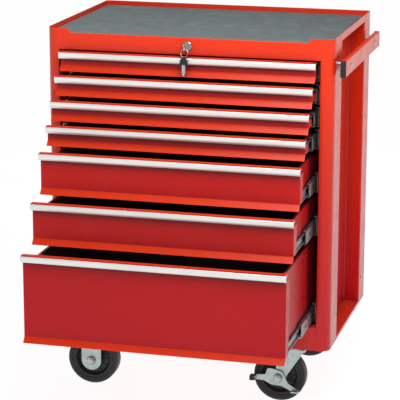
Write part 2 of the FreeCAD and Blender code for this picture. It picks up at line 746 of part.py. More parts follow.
def caster_plate(x, y):
    """A top plate with its four bolt holes."""
    x0, x1 = x - PLATE_HALF_LENGTH, x + PLATE_HALF_LENGTH
    y0, y1 = y - PLATE_HALF_WIDTH, y + PLATE_HALF_WIDTH
    outline = [(x0, y0), (x1, y0), (x1, y1), (x0, y1)]
    blank = plate("xy", outline, [PLATE_CORNER] * 4, PLATE_BOTTOM, CASTER_PLATE)
    return blank.cut(group(caster_bolt_holes(x, y)))


def leg_outline(x, foot_radius, top_z, axle_x):
    """Outline of a fork leg in the xz plane, from its wide top to its round foot."""
    return [
        (x - FORK_TOP_HALF, top_z),
        (axle_x - foot_radius, WHEEL_RADIUS),
        (axle_x - foot_radius, WHEEL_RADIUS - foot_radius),
        (axle_x + foot_radius, WHEEL_RADIUS - foot_radius),
        (axle_x + foot_radius, WHEEL_RADIUS),
        (x + FORK_TOP_HALF, top_z),
    ]


def legs(x, y, foot_radius, top_z, axle_x):
    """The two legs of a fork."""
    outline = leg_outline(x, foot_radius, top_z, axle_x)
    radii = [0, 0, foot_radius - 0.01, foot_radius - 0.01, 0, 0]
    front = plate("xz", outline, radii, y - LEG_OUTSIDE, FORK_SHEET)
    rear = plate("xz", outline, radii, y + FORK_INNER, FORK_SHEET)
    hole = rod(AXLE_RADIUS + AXLE_HOLE_GAP, (axle_x, y - 30.0, WHEEL_RADIUS), Y_AXIS, 60.0)
    return [front.cut(hole), rear.cut(hole)]


def fixed_caster_forks():
    """The two forks on the left, which don't turn."""
    x = FIXED_CASTER_X
    x0, x1 = x - FORK_TOP_HALF, x + FORK_TOP_HALF
    out = []
    for y in CASTER_YS.values():
        y0, y1 = y - LEG_OUTSIDE, y + LEG_OUTSIDE
        crown = box(x0, x1, y0, y1, PLATE_BOTTOM - CASTER_PLATE, PLATE_BOTTOM)
        sides = legs(x, y, FIXED_FOOT_RADIUS, PLATE_BOTTOM, x)
        out.append(joined([caster_plate(x, y), crown] + sides))
    return out


def axle(x, y, front_reach):
    """A wheel bolt: a round head behind, and in front a hexagon nut that the end of the
    shank stands out of."""
    z = WHEEL_RADIUS
    nut_y = y - front_reach - AXLE_NUT_DEPTH
    tip_y = nut_y - AXLE_END_LENGTH
    shank = rod(AXLE_RADIUS, (x, tip_y, z), Y_AXIS, y + LEG_OUTSIDE - tip_y)
    head = rod(AXLE_HEAD_RADIUS, (x, y + LEG_OUTSIDE, z), Y_AXIS, AXLE_HEAD_HEIGHT)
    nut = plate("xz", hexagon(AXLE_NUT_RADIUS, x, z, 0), [0] * 6, nut_y, AXLE_NUT_DEPTH)
    return joined([shank, head, nut])


def fixed_caster_axles():
    """The wheel bolts of the two fixed casters."""
    return [axle(FIXED_CASTER_X, y, LEG_OUTSIDE) for y in CASTER_YS.values()]


def swivel_plates():
    """The top plates of the two swivel casters, each with its upper race and kingpin."""
    x = SWIVEL_CASTER_X
    pin_bottom = KINGPIN_BOTTOM + KINGPIN_FOOT_HEIGHT
    race_bottom = PLATE_BOTTOM - UPPER_RACE_HEIGHT
    out = []
    for y in CASTER_YS.values():
        race = rod(UPPER_RACE_RADIUS, (x, y, race_bottom), Z_AXIS, UPPER_RACE_HEIGHT)
        kingpin = rod(KINGPIN_RADIUS, (x, y, pin_bottom), Z_AXIS, PLATE_BOTTOM - pin_bottom)
        foot = rod(KINGPIN_FOOT_RADIUS, (x, y, KINGPIN_BOTTOM), Z_AXIS, KINGPIN_FOOT_HEIGHT)
        out.append(joined([caster_plate(x, y), race, kingpin, foot]))
    return out


def swivel_fork(y):
    """The turning fork of a swivel caster, with the wheel bolt clamped in its legs."""
    x = SWIVEL_CASTER_X
    axle_x = x - SWIVEL_TRAIL
    crown_top = CROWN_BOTTOM + CROWN_SHEET
    x0, x1 = x - FORK_TOP_HALF - 2.0, x + FORK_TOP_HALF
    crown = box(x0, x1, y - LEG_OUTSIDE, y + LEG_OUTSIDE, CROWN_BOTTOM, crown_top)
    lower_race = rod(LOWER_RACE_RADIUS, (x, y, crown_top), Z_AXIS, LOWER_RACE_TOP - crown_top)
    sides = legs(x, y, SWIVEL_FOOT_RADIUS, crown_top, axle_x)
    bore = rod(KINGPIN_RADIUS + RUNNING_GAP, (x, y, 100.0), Z_AXIS, 60.0)
    body = joined([crown, lower_race] + sides).cut(bore)
    past_lever = LEG_OUTSIDE + BRAKE_FACE + 0.5
    return [body, axle(axle_x, y, past_lever)]


def brake_lever(y):
    """The foot brake on a swivel caster: a two-armed steel lever that rocks on the wheel
    bolt, with a pad to press at each end."""
    axle_x = SWIVEL_CASTER_X - SWIVEL_TRAIL
    z = WHEEL_RADIUS
    rear_y = y - LEG_OUTSIDE - BRAKE_FACE + BRAKE_SHEET
    front_y = rear_y - BRAKE_SHEET
    pad_y = front_y - BRAKE_PAD_REACH
    left = axle_x - 66.0
    right = axle_x + 50.0
    outline = [
        (left, z - 7.0),
        (axle_x - 34.0, z - 9.0),
        (axle_x - 16.0, z - 18.0),
        (axle_x + 10.0, z - 20.0),
        (right, z - 38.0),
        (right, z - 28.0),
        (axle_x + 24.0, z - 12.0),
        (axle_x + 10.0, z + 16.0),
        (axle_x - 14.0, z + 22.0),
        (axle_x - 26.0, z + 22.0),
        (axle_x - 30.0, z + 6.0),
        (left, z + 3.0),
    ]
    arm = plate("xz", outline, [2, 5, 8, 10, 2, 3, 8, 10, 6, 4, 6, 2], front_y, BRAKE_SHEET)
    left_pad = box(left, left + 14.0, pad_y, rear_y, z, z + 3.0)
    right_pad = box(right - 16.0, right, pad_y, rear_y, z - 31.0, z - 28.0)
    hole = rod(AXLE_RADIUS + RUNNING_GAP, (axle_x, y - 60.0, z), Y_AXIS, 60.0)
    return joined([arm, left_pad, right_pad]).cut(hole)


def revolved(profile, x, y):
    """A solid turned about a wheel axis. The profile lists (radius, distance along y)."""
    points = [FreeCAD.Vector(x, y + along, WHEEL_RADIUS + radius) for radius, along in profile]
    wire = Part.makePolygon(points + [points[0]])
    return Part.Face(wire).revolve(FreeCAD.Vector(x, y, WHEEL_RADIUS), Y_AXIS, 360)


def tyre(x, y):
    """The solid rubber tyre, with a flat tread and rounded shoulders."""
    half = WHEEL_WIDTH / 2
    shoulder = 7.0
    profile = [(44.05, 2.0 - half), (48.0, -half)]
    for k in range(7):
        angle = math.radians(15 * k)
        radius = WHEEL_RADIUS - shoulder * (1 - math.sin(angle))
        profile.append((radius, shoulder * (1 - math.cos(angle)) - half))
    profile += [(radius, -along) for radius, along in profile[::-1]]
    return revolved(profile, x, y)


def hub(x, y):
    """The wheel's centre: a rim, a thin web and a boss with the axle bore."""
    boss_end = 0.5 - FORK_INNER
    half_profile = [
        (AXLE_RADIUS + RUNNING_GAP, boss_end),
        (15.0, boss_end),
        (17.0, -5.0),
        (37.0, -4.0),
        (39.0, -13.0),
        (44.0, -13.0),
    ]
    profile = half_profile + [(radius, -along) for radius, along in half_profile[::-1]]
    return revolved(profile, x, y)


# ---------------------------------------------------------------- all the nodes
def main():
    os.makedirs("parts", exist_ok=True)
    save("side_panel_right", side_panel_with_bar_holes())
    save("side_panel_left", mirrored(side_panel()))
    save("front_top_rail", front_top_rail())
    save("base_rail", base_rail())
    save("back_panel", back_panel())
    save("top_tray", top_tray())
    save("top_mat", top_mat())
    save("base_pan", base_pan())
    save("slide_channels", group(slide_channels()))
    for i, top in enumerate(DRAWER_TOPS):
        out = -DRAWER_OPEN[i]
        name = f"drawer_{i + 1}"
        pieces = drawer_front(top, SLOT_BOTTOMS[i]) + drawer_tray(top, SLOT_BOTTOMS[i])
        save(name, moved(joined(pieces), dy=out))
        save(f"{name}_trim", moved(drawer_trim(top), dy=out))
        save(f"{name}_runners", moved(group(runners(i)), dy=out))
        save(f"{name}_mid_slides", moved(group(mid_slides(i)), dy=out / 2))
    save("lock_cylinder", lock_cylinder())
    save("lock_plug", lock_plug())
    save("key", key())
    save("lock_bar", lock_bar())
    save("handle_bar", handle_bar())
    save("handle_end_caps", group(handle_end_caps()))
    save("handle_spacers", group(handle_spacers()))
    save("handle_screws", group(handle_screws()))
    save("fixed_caster_forks", group(fixed_caster_forks()))
    save("fixed_caster_axles", group(fixed_caster_axles()))
    save("swivel_plates", group(swivel_plates()))
    for end, y in CASTER_YS.items():
        swivel_x = SWIVEL_CASTER_X - SWIVEL_TRAIL
        save(f"swivel_fork_{end}", group(swivel_fork(y)))
        save(f"brake_lever_{end}", brake_lever(y))
        save(f"tyre_{end}_left", tyre(FIXED_CASTER_X, y))
        save(f"hub_{end}_left", hub(FIXED_CASTER_X, y))
        save(f"tyre_{end}_right", tyre(swivel_x, y))
        save(f"hub_{end}_right", hub(swivel_x, y))
    print("origin in cabinet coordinates:", ORIGIN)


main()
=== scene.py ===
# %% [markdown]
# # Rolling tool box
# A red steel roller cabinet with seven drawers, standing on four casters. The
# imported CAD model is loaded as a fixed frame: every panel, drawer and fork is
# already there at its true size. This lesson gives each of them a finish and adds
# what the frame leaves out: drawer pulls, mat ribs, liners, balls, screws, bolts,
# tyres, hubs and the spare key.

# %% Load the frame
import json
import math
import bmesh
import bpy
from mathutils import Matrix, Vector


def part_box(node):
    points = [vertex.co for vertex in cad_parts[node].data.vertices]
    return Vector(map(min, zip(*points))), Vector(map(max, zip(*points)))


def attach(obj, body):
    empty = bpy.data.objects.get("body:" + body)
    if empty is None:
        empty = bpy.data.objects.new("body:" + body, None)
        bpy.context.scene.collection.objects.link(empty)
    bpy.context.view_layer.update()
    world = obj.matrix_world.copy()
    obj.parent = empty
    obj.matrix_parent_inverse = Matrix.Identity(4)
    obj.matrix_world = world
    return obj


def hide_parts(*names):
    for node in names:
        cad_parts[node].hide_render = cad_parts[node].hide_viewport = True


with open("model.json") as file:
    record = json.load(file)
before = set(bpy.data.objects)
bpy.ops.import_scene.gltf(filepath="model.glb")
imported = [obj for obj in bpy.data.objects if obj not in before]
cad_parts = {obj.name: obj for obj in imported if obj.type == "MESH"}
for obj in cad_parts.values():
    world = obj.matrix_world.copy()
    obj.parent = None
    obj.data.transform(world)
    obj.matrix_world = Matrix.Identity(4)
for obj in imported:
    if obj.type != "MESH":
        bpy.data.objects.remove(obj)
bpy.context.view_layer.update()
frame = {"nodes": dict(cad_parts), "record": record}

scene = bpy.context.scene
nodes = frame["nodes"]

# %% [markdown]
# ## Landmarks
# The cabinet's panels and drawers already have their places. New pieces could be
# placed by typing world coordinates, but those would go wrong with any change to
# the frame. Here they come from the boxes of the CAD nodes, and each drawer gives
# its own place, because it is pulled out by its own amount.

# %% Landmarks
MM = 0.001
side_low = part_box("side_panel_right")[0]
mat_low, mat_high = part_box("top_mat")
X_MID = (mat_low.x + mat_high.x) / 2
Y_FRONT = side_low.y
Y_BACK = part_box("back_panel")[1].y
DRAWERS = range(1, 8)


def at(x, y, z):
    """A point in millimetres from the middle of the cabinet's front, at floor level."""
    return Vector((X_MID + x * MM, Y_FRONT + y * MM, z * MM))


print("front", round(Y_FRONT, 4), "middle", round(X_MID, 4), "back", round(Y_BACK, 4))

# %% [markdown]
# ## Node helpers
# The box is painted steel, bare metal, rubber and plastic, so it needs about a
# dozen finishes. Each could be wired by hand, node by node, but most share the
# same steps. A small builder keeps each recipe short: it adds a node, sets its
# values and wires it to the ones before it. All patterns read Object coordinates,
# so they stay put on a drawer when the drawer slides.

# %% Material builder


class Recipe:
    """A new material with a Principled shader, and short words for its nodes."""

    def __init__(self, name, **shader):
        self.material = bpy.data.materials.new(name)
        self.material.use_nodes = True
        self.tree = self.material.node_tree
        self.shader = self.tree.nodes["Principled BSDF"]
        for socket, value in shader.items():
            self.shader.inputs[socket.replace("_", " ")].default_value = value
        self.place = self.tree.nodes.new("ShaderNodeTexCoord").outputs["Object"]

    def node(self, kind, inputs=(), **settings):
        made = self.tree.nodes.new("ShaderNode" + kind)
        for key, value in settings.items():
            setattr(made, key, value)
        for key, value in dict(inputs).items():
            if isinstance(value, bpy.types.NodeSocket):
                self.tree.links.new(value, made.inputs[key])
            else:
                made.inputs[key].default_value = value
        return made

    def stretched(self, scale):
        return self.node("Mapping", {"Vector": self.place, "Scale": scale}).outputs[0]

    def noise(self, scale, detail=3.0, stretch=None):
        where = self.stretched(stretch) if stretch else self.place
        inputs = {"Vector": where, "Scale": scale, "Detail": detail}
        return self.node("TexNoise", inputs).outputs["Fac"]

    def span(self, value, low, high, start=0.0, end=1.0):
        inputs = {"Value": value, 1: low, 2: high, 3: start, 4: end}
        return self.node("MapRange", inputs).outputs["Result"]

    def mix(self, factor, one, two):
        made = self.node("Mix", data_type="RGBA")
        for key, value in ((0, factor), (6, one), (7, two)):
            if isinstance(value, bpy.types.NodeSocket):
                self.tree.links.new(value, made.inputs[key])
            else:
                made.inputs[key].default_value = value
        return made.outputs[2]

    def times(self, one, two):
        made = self.node("Math", operation="MULTIPLY")
        for key, value in ((0, one), (1, two)):
            if isinstance(value, bpy.types.NodeSocket):
                self.tree.links.new(value, made.inputs[key])
            else:
                made.inputs[key].default_value = value
        return made.outputs[0]

    def edges(self, radius, low=0.02, high=0.25):
        """1 along sharp edges, 0 on flat faces."""
        bevel = self.node("Bevel", {"Radius": radius}, samples=6).outputs[0]
        true = self.node("NewGeometry").outputs["True Normal"]
        dot = self.node("VectorMath", {0: bevel, 1: true}, operation="DOT_PRODUCT")
        return self.span(dot.outputs["Value"], 1.0 - low, 1.0 - high)

    def facing_up(self, low=0.6, high=1.0):
        normal = self.node("NewGeometry").outputs["Normal"]
        parts = self.node("SeparateXYZ", {"Vector": normal}).outputs
        return self.span(parts["Z"], low, high)

    def bump(self, height, distance, strength=1.0, under=None):
        inputs = {"Height": height, "Distance": distance, "Strength": strength}
        if under is not None:
            inputs["Normal"] = under
        return self.node("Bump", inputs).outputs[0]

    def out(self, **links):
        for socket, value in links.items():
            self.tree.links.new(value, self.shader.inputs[socket.replace("_", " ")])
        return self.material


def shade(red, green, blue):
    return (red, green, blue, 1.0)


# %% [markdown]
# ## Powder coat
# The cabinet is steel sheet with a glossy red powder coat. Powder coat has a fine
# orange-peel ripple, a little dust on the faces that look up, and edges rubbed a
# shade lighter. One flat red would look like plastic, and a painted image would
# not fit every panel, so nodes vary the colour instead. Part of that is painted
# light and shade: the red is painted more orange at the top and crimson low down,
# folds that lean upwards are painted orange as if lit from above, and corners,
# such as the strip under each drawer pull, get painted shade. The same recipe
# makes the drawers, which are a touch deeper in colour.

# %% Red finishes


def powder_coat(name, base, deep, folds, rough, gloss_index, dust, corner_shade):
    made = Recipe(name, IOR=gloss_index)
    # Painted light and shade: the red runs from crimson low down to orange at the top, by height
    # with a little noise.
    height = made.node("SeparateXYZ", {"Vector": made.place}).outputs["Z"]
    height_light_and_shade = made.node("Math", {0: height, 1: made.span(made.noise(3.2, 4.0), 0.3, 0.7, -0.1, 0.1)},
                     operation="ADD").outputs[0]
    colour = made.mix(made.span(height_light_and_shade, 0.2, 0.8), deep, base)
    # Painted light: faces that lean upwards are painted orange, as if lit from above.
    colour = made.mix(made.facing_up(0.08, 0.35), colour, folds)
    # Painted shade: corners and the strip under each drawer pull are painted dark purple from an
    # ambient occlusion mask.
    corner = made.node("AmbientOcclusion", {"Distance": 0.03}, samples=8).outputs["AO"]
    colour = made.mix(made.span(corner, 0.62, 0.97, corner_shade, 0.0), colour, shade(0.06, 0.01, 0.02))
    colour = made.mix(made.times(made.edges(0.0012), 0.3), colour, shade(0.8, 0.1, 0.04))
    specks = made.span(made.noise(900.0, 1.0), 0.62, 0.8)
    settled = made.times(made.times(made.facing_up(), dust), made.noise(14.0, 6.0))
    colour = made.mix(made.times(specks, 0.1), colour, shade(0.3, 0.02, 0.015))
    colour = made.mix(settled, colour, shade(0.5, 0.4, 0.36))
    gloss = made.span(made.noise(22.0, 5.0), 0.25, 0.75, rough - 0.06, rough + 0.08)
    peel = made.bump(made.noise(420.0, 2.0), 0.00022, 0.35)
    dents = made.bump(made.noise(2.2, 1.0), 0.0008, 0.2, peel)
    return made.out(Base_Color=colour, Roughness=gloss, Normal=dents)


RED_BODY = powder_coat(
    "red_powder_coat", shade(0.68, 0.028, 0.002), shade(0.54, 0.008, 0.012),
    shade(0.68, 0.03, 0.003), 0.24, 1.37, 0.05, 0.2)
RED_DRAWER = powder_coat(
    "drawer_red", shade(0.56, 0.011, 0.006), shade(0.5, 0.008, 0.01),
    shade(0.68, 0.034, 0.003), 0.3, 1.28, 0.04, 0.85)
RED_DEEP_DRAWER = powder_coat(
    "deep_drawer_red", shade(0.5, 0.01, 0.01), shade(0.48, 0.007, 0.011),
    shade(0.68, 0.03, 0.004), 0.3, 1.28, 0.04, 0.85)
print("finishes", RED_BODY.name, RED_DRAWER.name, RED_DEEP_DRAWER.name)

# %% [markdown]
# ## Bright metals
# The drawer pulls are bare aluminium, drawn lengthwise, so fine lines run along X.
# The slides and caster forks are zinc plated: duller, mottled, a little blue.
# Chrome covers the lock and the keys, and the screws are plain bright steel. One
# grey metal for all would lose these differences. Two recipes cover them: streaks
# from a stretched noise for drawn metal, and small cells for plating.

# %% Metal finishes


def drawn_metal(name, base, dark, rough, stretch, lines, depth):
    made = Recipe(name, Metallic=0.55)
    streak = made.noise(lines, 3.0, stretch)
    colour = made.mix(made.span(streak, 0.3, 0.72), dark, base)
    smudge = made.span(made.noise(9.0, 5.0), 0.35, 0.8)
    colour = made.mix(made.times(smudge, 0.18), colour, shade(0.5, 0.48, 0.46))
    gloss = made.span(made.noise(16.0, 4.0), 0.2, 0.8, rough - 0.07, rough + 0.1)
    fine = made.bump(streak, depth, 0.5)
    return made.out(Base_Color=colour, Roughness=gloss, Normal=fine)


def plated_metal(name, base, dark, rough, grain, rub):
    made = Recipe(name, Metallic=1.0)
    spangle = made.node("TexVoronoi", {"Vector": made.place, "Scale": grain})
    blotch = made.noise(60.0, 5.0)
    tone = made.span(spangle.outputs["Color"], 0.0, 1.0, 0.25, 0.75)
    colour = made.mix(tone, dark, base)
    colour = made.mix(made.times(made.span(blotch, 0.5, 0.8), 0.5), colour, dark)
    colour = made.mix(made.times(made.edges(0.0008), rub), colour, shade(0.9, 0.9, 0.9))
    gloss = made.span(blotch, 0.3, 0.7, rough - 0.06, rough + 0.12)
    grit = made.bump(made.noise(1100.0, 2.0), 0.0001, 0.3)
    return made.out(Base_Color=colour, Roughness=gloss, Normal=grit)


TRIM = drawn_metal(
    "bare_trim", shade(0.95, 0.96, 0.93), shade(0.72, 0.75, 0.72), 0.36,
    (0.02, 6.0, 6.0), 120.0, 0.0001)
ZINC_SLIDE = plated_metal(
    "zinc_slides", shade(0.5, 0.52, 0.53), shade(0.3, 0.32, 0.34), 0.4, 240.0, 0.6)
ZINC_CASTER = plated_metal(
    "zinc_casters", shade(0.52, 0.6, 0.585), shade(0.36, 0.43, 0.42), 0.34, 190.0, 0.5)
CHROME = plated_metal(
    "lock_chrome", shade(0.6, 0.6, 0.57), shade(0.42, 0.42, 0.4), 0.18, 400.0, 0.2)
SCREW = plated_metal(
    "screw_steel", shade(0.62, 0.62, 0.6), shade(0.42, 0.42, 0.41), 0.3, 500.0, 0.5)
BAR_STEEL = plated_metal(
    "lock_steel", shade(0.4, 0.4, 0.4), shade(0.24, 0.24, 0.25), 0.45, 150.0, 0.6)
BALL = plated_metal(
    "ball_steel", shade(0.8, 0.8, 0.8), shade(0.6, 0.6, 0.6), 0.14, 600.0, 0.0)
print("metal finishes", len(bpy.data.materials))

# %% [markdown]
# ## Rubber and plastic
# The top mat and the drawer liners are soft vinyl with a fine pebble skin. Tyres
# are dense grey-black rubber with scuffs, and the hubs are moulded nylon. The end
# caps of the push bar are black plastic with a light texture. The texture could be
# modelled, but it is far too fine, so one recipe bumps the surface with noise and
# adds scuffs, and only its numbers differ between the materials.

# %% Soft and moulded finishes


def moulded(name, base, pale, rough, grain, depth, dust, edge=0.25):
    made = Recipe(name, IOR=1.45)
    scuffs = made.span(made.noise(26.0, 8.0), 0.5, 0.78)
    colour = made.mix(made.times(scuffs, 0.45), base, pale)
    colour = made.mix(made.times(made.edges(0.0009), edge), colour, pale)
    settled = made.times(made.times(made.facing_up(), dust), made.noise(30.0, 5.0))
    colour = made.mix(settled, colour, shade(0.42, 0.4, 0.37))
    gloss = made.span(made.noise(40.0, 4.0), 0.25, 0.75, rough - 0.08, rough + 0.1)
    skin = made.bump(made.noise(grain, 3.0), depth, 0.5)
    return made.out(Base_Color=colour, Roughness=gloss, Normal=skin)


MAT_RUBBER = moulded(
    "ribbed_rubber", shade(0.15, 0.195, 0.2), shade(0.38, 0.44, 0.45), 0.5,
    700.0, 0.0002, 0.22)
# Painted shade: the mat's sheet between the ribs is near black, for the shade in the grooves.
MAT_GROOVE_SHADE = moulded(
    "mat_groove_painted_shade", shade(0.016, 0.02, 0.022), shade(0.035, 0.042, 0.044), 0.6,
    700.0, 0.0002, 0.12)
LINER_RUBBER = moulded(
    "drawer_liner", shade(0.1, 0.105, 0.1), shade(0.15, 0.155, 0.15), 0.62,
    600.0, 0.0002, 0.05)
TYRE_RUBBER = moulded(
    "tyre_rubber", shade(0.022, 0.024, 0.024), shade(0.055, 0.056, 0.054), 0.5,
    520.0, 0.0003, 0.1)
HUB_NYLON = moulded(
    "hub_grey", shade(0.016, 0.017, 0.018), shade(0.05, 0.05, 0.05), 0.42,
    900.0, 0.0001, 0.05)
BOSS_NYLON = moulded(
    "boss_nylon", shade(0.5, 0.51, 0.5), shade(0.62, 0.62, 0.6), 0.38,
    800.0, 0.0001, 0.05)
BLACK_PLASTIC = moulded(
    "black_plastic", shade(0.012, 0.012, 0.013), shade(0.05, 0.05, 0.05), 0.4,
    1400.0, 0.00012, 0.06)
print("all finishes", len(bpy.data.materials))

# %% [markdown]
# ## Finishing the CAD parts
# Every panel, fork and slide needs its finish. Each could be given by name, one
# line per part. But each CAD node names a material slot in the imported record, so
# the slot picks the finish, and only the mat's sheet and the deep drawer differ.

# %% Give every node its finish
FINISHES = {
    "red_powder_coat": RED_BODY, "drawer_red": RED_DRAWER, "bare_trim": TRIM,
    "zinc_slides": ZINC_SLIDE, "zinc_casters": ZINC_CASTER, "ribbed_rubber": MAT_RUBBER,
    "black_plastic": BLACK_PLASTIC, "lock_chrome": CHROME, "screw_steel": SCREW,
    "tyre_rubber": TYRE_RUBBER, "hub_grey": HUB_NYLON, "lock_steel": BAR_STEEL,
}
for row in frame["record"]["subparts"]:
    part = nodes[row["node"]]
    part.data.materials.clear()
    part.data.materials.append(FINISHES[row["material_slot"]])
# The mat's sheet gets the painted shade of its grooves.
nodes["top_mat"].data.materials[0] = MAT_GROOVE_SHADE
nodes["drawer_7"].data.materials[0] = RED_DEEP_DRAWER

# %% [markdown]
# ## Making pieces
# Pulls, tyres and key heads are single shapes: swept, turned or built of blocks.
# They could come from Blender's own primitives and modifiers, but then each would
# carry its own transform. Built in a bmesh, a piece has its place in its mesh and
# its object stays at the origin, smooth by angle, riding on one body.

# %% Piece helpers


def finish_piece(mesh, name, body, finish=None, angle=35.0, stands_for=()):
    """Links a mesh as a finished piece that rides on a body."""
    mesh.name = name
    if finish is not None:
        mesh.materials.clear()
        mesh.materials.append(finish)
    mesh.shade_smooth()
    mesh.set_sharp_from_angle(angle=math.radians(angle))
    piece = bpy.data.objects.new(name, mesh)
    scene.collection.objects.link(piece)
    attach(piece, body)
    if stands_for:
        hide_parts(*stands_for)
    return piece


def mesh_from(work, name):
    """A mesh from a bmesh whose doubles are merged and whose faces look outwards."""
    bmesh.ops.remove_doubles(work, verts=work.verts, dist=1e-6)
    bmesh.ops.recalc_face_normals(work, faces=work.faces)
    mesh = bpy.data.meshes.new(name)
    work.to_mesh(mesh)
    work.free()
    return mesh


def turned(profile, steps, axis="Y"):
    """Spins (radius, along) points in millimetres round an axis, closed at the ends."""
    work = bmesh.new()
    rings = []
    for radius, along in profile:
        ring = []
        for step in range(steps):
            angle = 2 * math.pi * step / steps
            across, up = radius * math.cos(angle) * MM, radius * math.sin(angle) * MM
            spot = (across, along * MM, up) if axis == "Y" else (across, up, along * MM)
            ring.append(work.verts.new(spot))
            if radius == 0:
                break
        rings.append(ring)
    for one, two in zip(rings, rings[1:]):
        for step in range(steps):
            after = (step + 1) % steps
            corners = [one[step % len(one)], one[after % len(one)],
                       two[after % len(two)], two[step % len(two)]]
            corners = list(dict.fromkeys(corners))
            if len(corners) > 2:
                work.faces.new(corners)
    return work


def block(work, low, high, bevel=0.0):
    """Adds a box between two corners to a bmesh, with its edges rounded."""
    size = high - low
    move = Matrix.Translation((low + high) / 2) @ Matrix.Diagonal((*size, 1.0))
    made = bmesh.ops.create_cube(work, size=1.0, matrix=move)["verts"]
    if bevel:
        edges = list({edge for vert in made for edge in vert.link_edges})
        bmesh.ops.bevel(work, geom=edges, offset=bevel, segments=2, affect="EDGES")


def hidden(mesh, name):
    """A source object for a node tree: never rendered, removed at the end."""
    return bpy.data.objects.new(name, mesh)


# %% [markdown]
# ## A tree that sets one shape at many places
# Screws, bolts, balls and hub ribs all repeat one shape. A loop could copy the
# mesh, but a tree does it in one step and its inputs stay easy to change. The tree
# below reads a cloud of points with a turn stored on each, puts the shape on every
# point, realises the copies and gives them their finish.

# %% Tree: one shape at many points


def instance_tree():
    tree = bpy.data.node_groups.new("set_at_points", "GeometryNodeTree")
    face = tree.interface
    face.new_socket("Points", in_out="INPUT", socket_type="NodeSocketGeometry")
    face.new_socket("Shape", in_out="INPUT", socket_type="NodeSocketObject")
    face.new_socket("Finish", in_out="INPUT", socket_type="NodeSocketMaterial")
    face.new_socket("Size", in_out="INPUT", socket_type="NodeSocketFloat")
    face.new_socket("Result", in_out="OUTPUT", socket_type="NodeSocketGeometry")
    add = tree.nodes.new
    given, result = add("NodeGroupInput"), add("NodeGroupOutput")
    shape, turn = add("GeometryNodeObjectInfo"), add("GeometryNodeInputNamedAttribute")
    turn.data_type = "FLOAT_VECTOR"
    turn.inputs["Name"].default_value = "turn"
    copies, real = add("GeometryNodeInstanceOnPoints"), add("GeometryNodeRealizeInstances")
    coat = add("GeometryNodeSetMaterial")
    for source, target in (
            (given.outputs["Points"], copies.inputs["Points"]),
            (given.outputs["Shape"], shape.inputs["Object"]),
            (shape.outputs["Geometry"], copies.inputs["Instance"]),
            (turn.outputs["Attribute"], copies.inputs["Rotation"]),
            (given.outputs["Size"], copies.inputs["Scale"]),
            (copies.outputs["Instances"], real.inputs["Geometry"]),
            (real.outputs["Geometry"], coat.inputs["Geometry"]),
            (given.outputs["Finish"], coat.inputs["Material"]),
            (coat.outputs["Geometry"], result.inputs["Result"])):
        tree.links.new(source, target)
    return tree


SET_AT_POINTS = instance_tree()


def evaluated(start, tree, values, name):
    """The mesh that a tree makes from a start mesh, with its inputs set by name."""
    holder = bpy.data.objects.new(name + "_maker", start)
    scene.collection.objects.link(holder)
    modifier = holder.modifiers.new("maker", "NODES")
    modifier.node_group = tree
    sockets = {item.name: item.identifier for item in tree.interface.items_tree
               if item.in_out == "INPUT"}
    for label, value in values.items():
        modifier[sockets[label]] = value
    bpy.context.view_layer.update()
    result = holder.evaluated_get(bpy.context.evaluated_depsgraph_get())
    mesh = bpy.data.meshes.new_from_object(result)
    holder.modifiers.remove(modifier)
    bpy.data.objects.remove(holder)
    for attribute in [one for one in mesh.attributes if one.name == "turn"]:
        mesh.attributes.remove(attribute)
    return mesh


def repeat(shape, places, name, body, finish, angle=35.0, size=1.0):
    """Puts a hidden shape at each (point, turn) and finishes the result as a piece."""
    cloud = bpy.data.meshes.new(name + "_points")
    cloud.from_pydata([spot for spot, turn in places], [], [])
    turns = cloud.attributes.new("turn", "FLOAT_VECTOR", "POINT")
    for index, (spot, turn) in enumerate(places):
        turns.data[index].vector = turn
    values = {"Shape": shape, "Finish": finish, "Size": size}
    mesh = evaluated(cloud, SET_AT_POINTS, values, name)
    return finish_piece(mesh, name, body, angle=angle)


FLAT = (0.0, 0.0, 0.0)
QUARTER = math.pi / 2
print("tree ready:", SET_AT_POINTS.name)

# %% [markdown]
# ## Ribs
# The mat on top and the liners in the drawers have fine ribs that run front to
# back. A bump pattern would draw them, but it would vanish at the mat's edge, where
# ribs show in outline. So a tree sweeps a rounded section along a row of straight
# lines. Each rib's lower half is sunk in the sheet.

# %% Tree: parallel ribs


def rib_tree():
    tree = bpy.data.node_groups.new("parallel_ribs", "GeometryNodeTree")
    face = tree.interface
    face.new_socket("Lines", in_out="INPUT", socket_type="NodeSocketGeometry")
    face.new_socket("Half width", in_out="INPUT", socket_type="NodeSocketFloat")
    face.new_socket("Height", in_out="INPUT", socket_type="NodeSocketFloat")
    face.new_socket("Finish", in_out="INPUT", socket_type="NodeSocketMaterial")
    face.new_socket("Result", in_out="OUTPUT", socket_type="NodeSocketGeometry")
    add = tree.nodes.new
    given, result = add("NodeGroupInput"), add("NodeGroupOutput")
    curves, section = add("GeometryNodeMeshToCurve"), add("GeometryNodeCurvePrimitiveCircle")
    section.inputs["Resolution"].default_value = 6
    section.inputs["Radius"].default_value = 1.0
    squash, sizes = add("GeometryNodeTransform"), add("ShaderNodeCombineXYZ")
    sweep, real = add("GeometryNodeCurveToMesh"), add("GeometryNodeRealizeInstances")
    sweep.inputs["Fill Caps"].default_value = True
    coat = add("GeometryNodeSetMaterial")
    for source, target in (
            (given.outputs["Lines"], curves.inputs["Mesh"]),
            (given.outputs["Half width"], sizes.inputs["X"]),
            (given.outputs["Height"], sizes.inputs["Y"]),
            (sizes.outputs["Vector"], squash.inputs["Scale"]),
            (section.outputs["Curve"], squash.inputs["Geometry"]),
            (curves.outputs["Curve"], sweep.inputs["Curve"]),
            (squash.outputs["Geometry"], sweep.inputs["Profile Curve"]),
            (sweep.outputs["Mesh"], real.inputs["Geometry"]),
            (real.outputs["Geometry"], coat.inputs["Geometry"]),
            (given.outputs["Finish"], coat.inputs["Material"]),
            (coat.outputs["Geometry"], result.inputs["Result"])):
        tree.links.new(source, target)
    return tree


PARALLEL_RIBS = rib_tree()


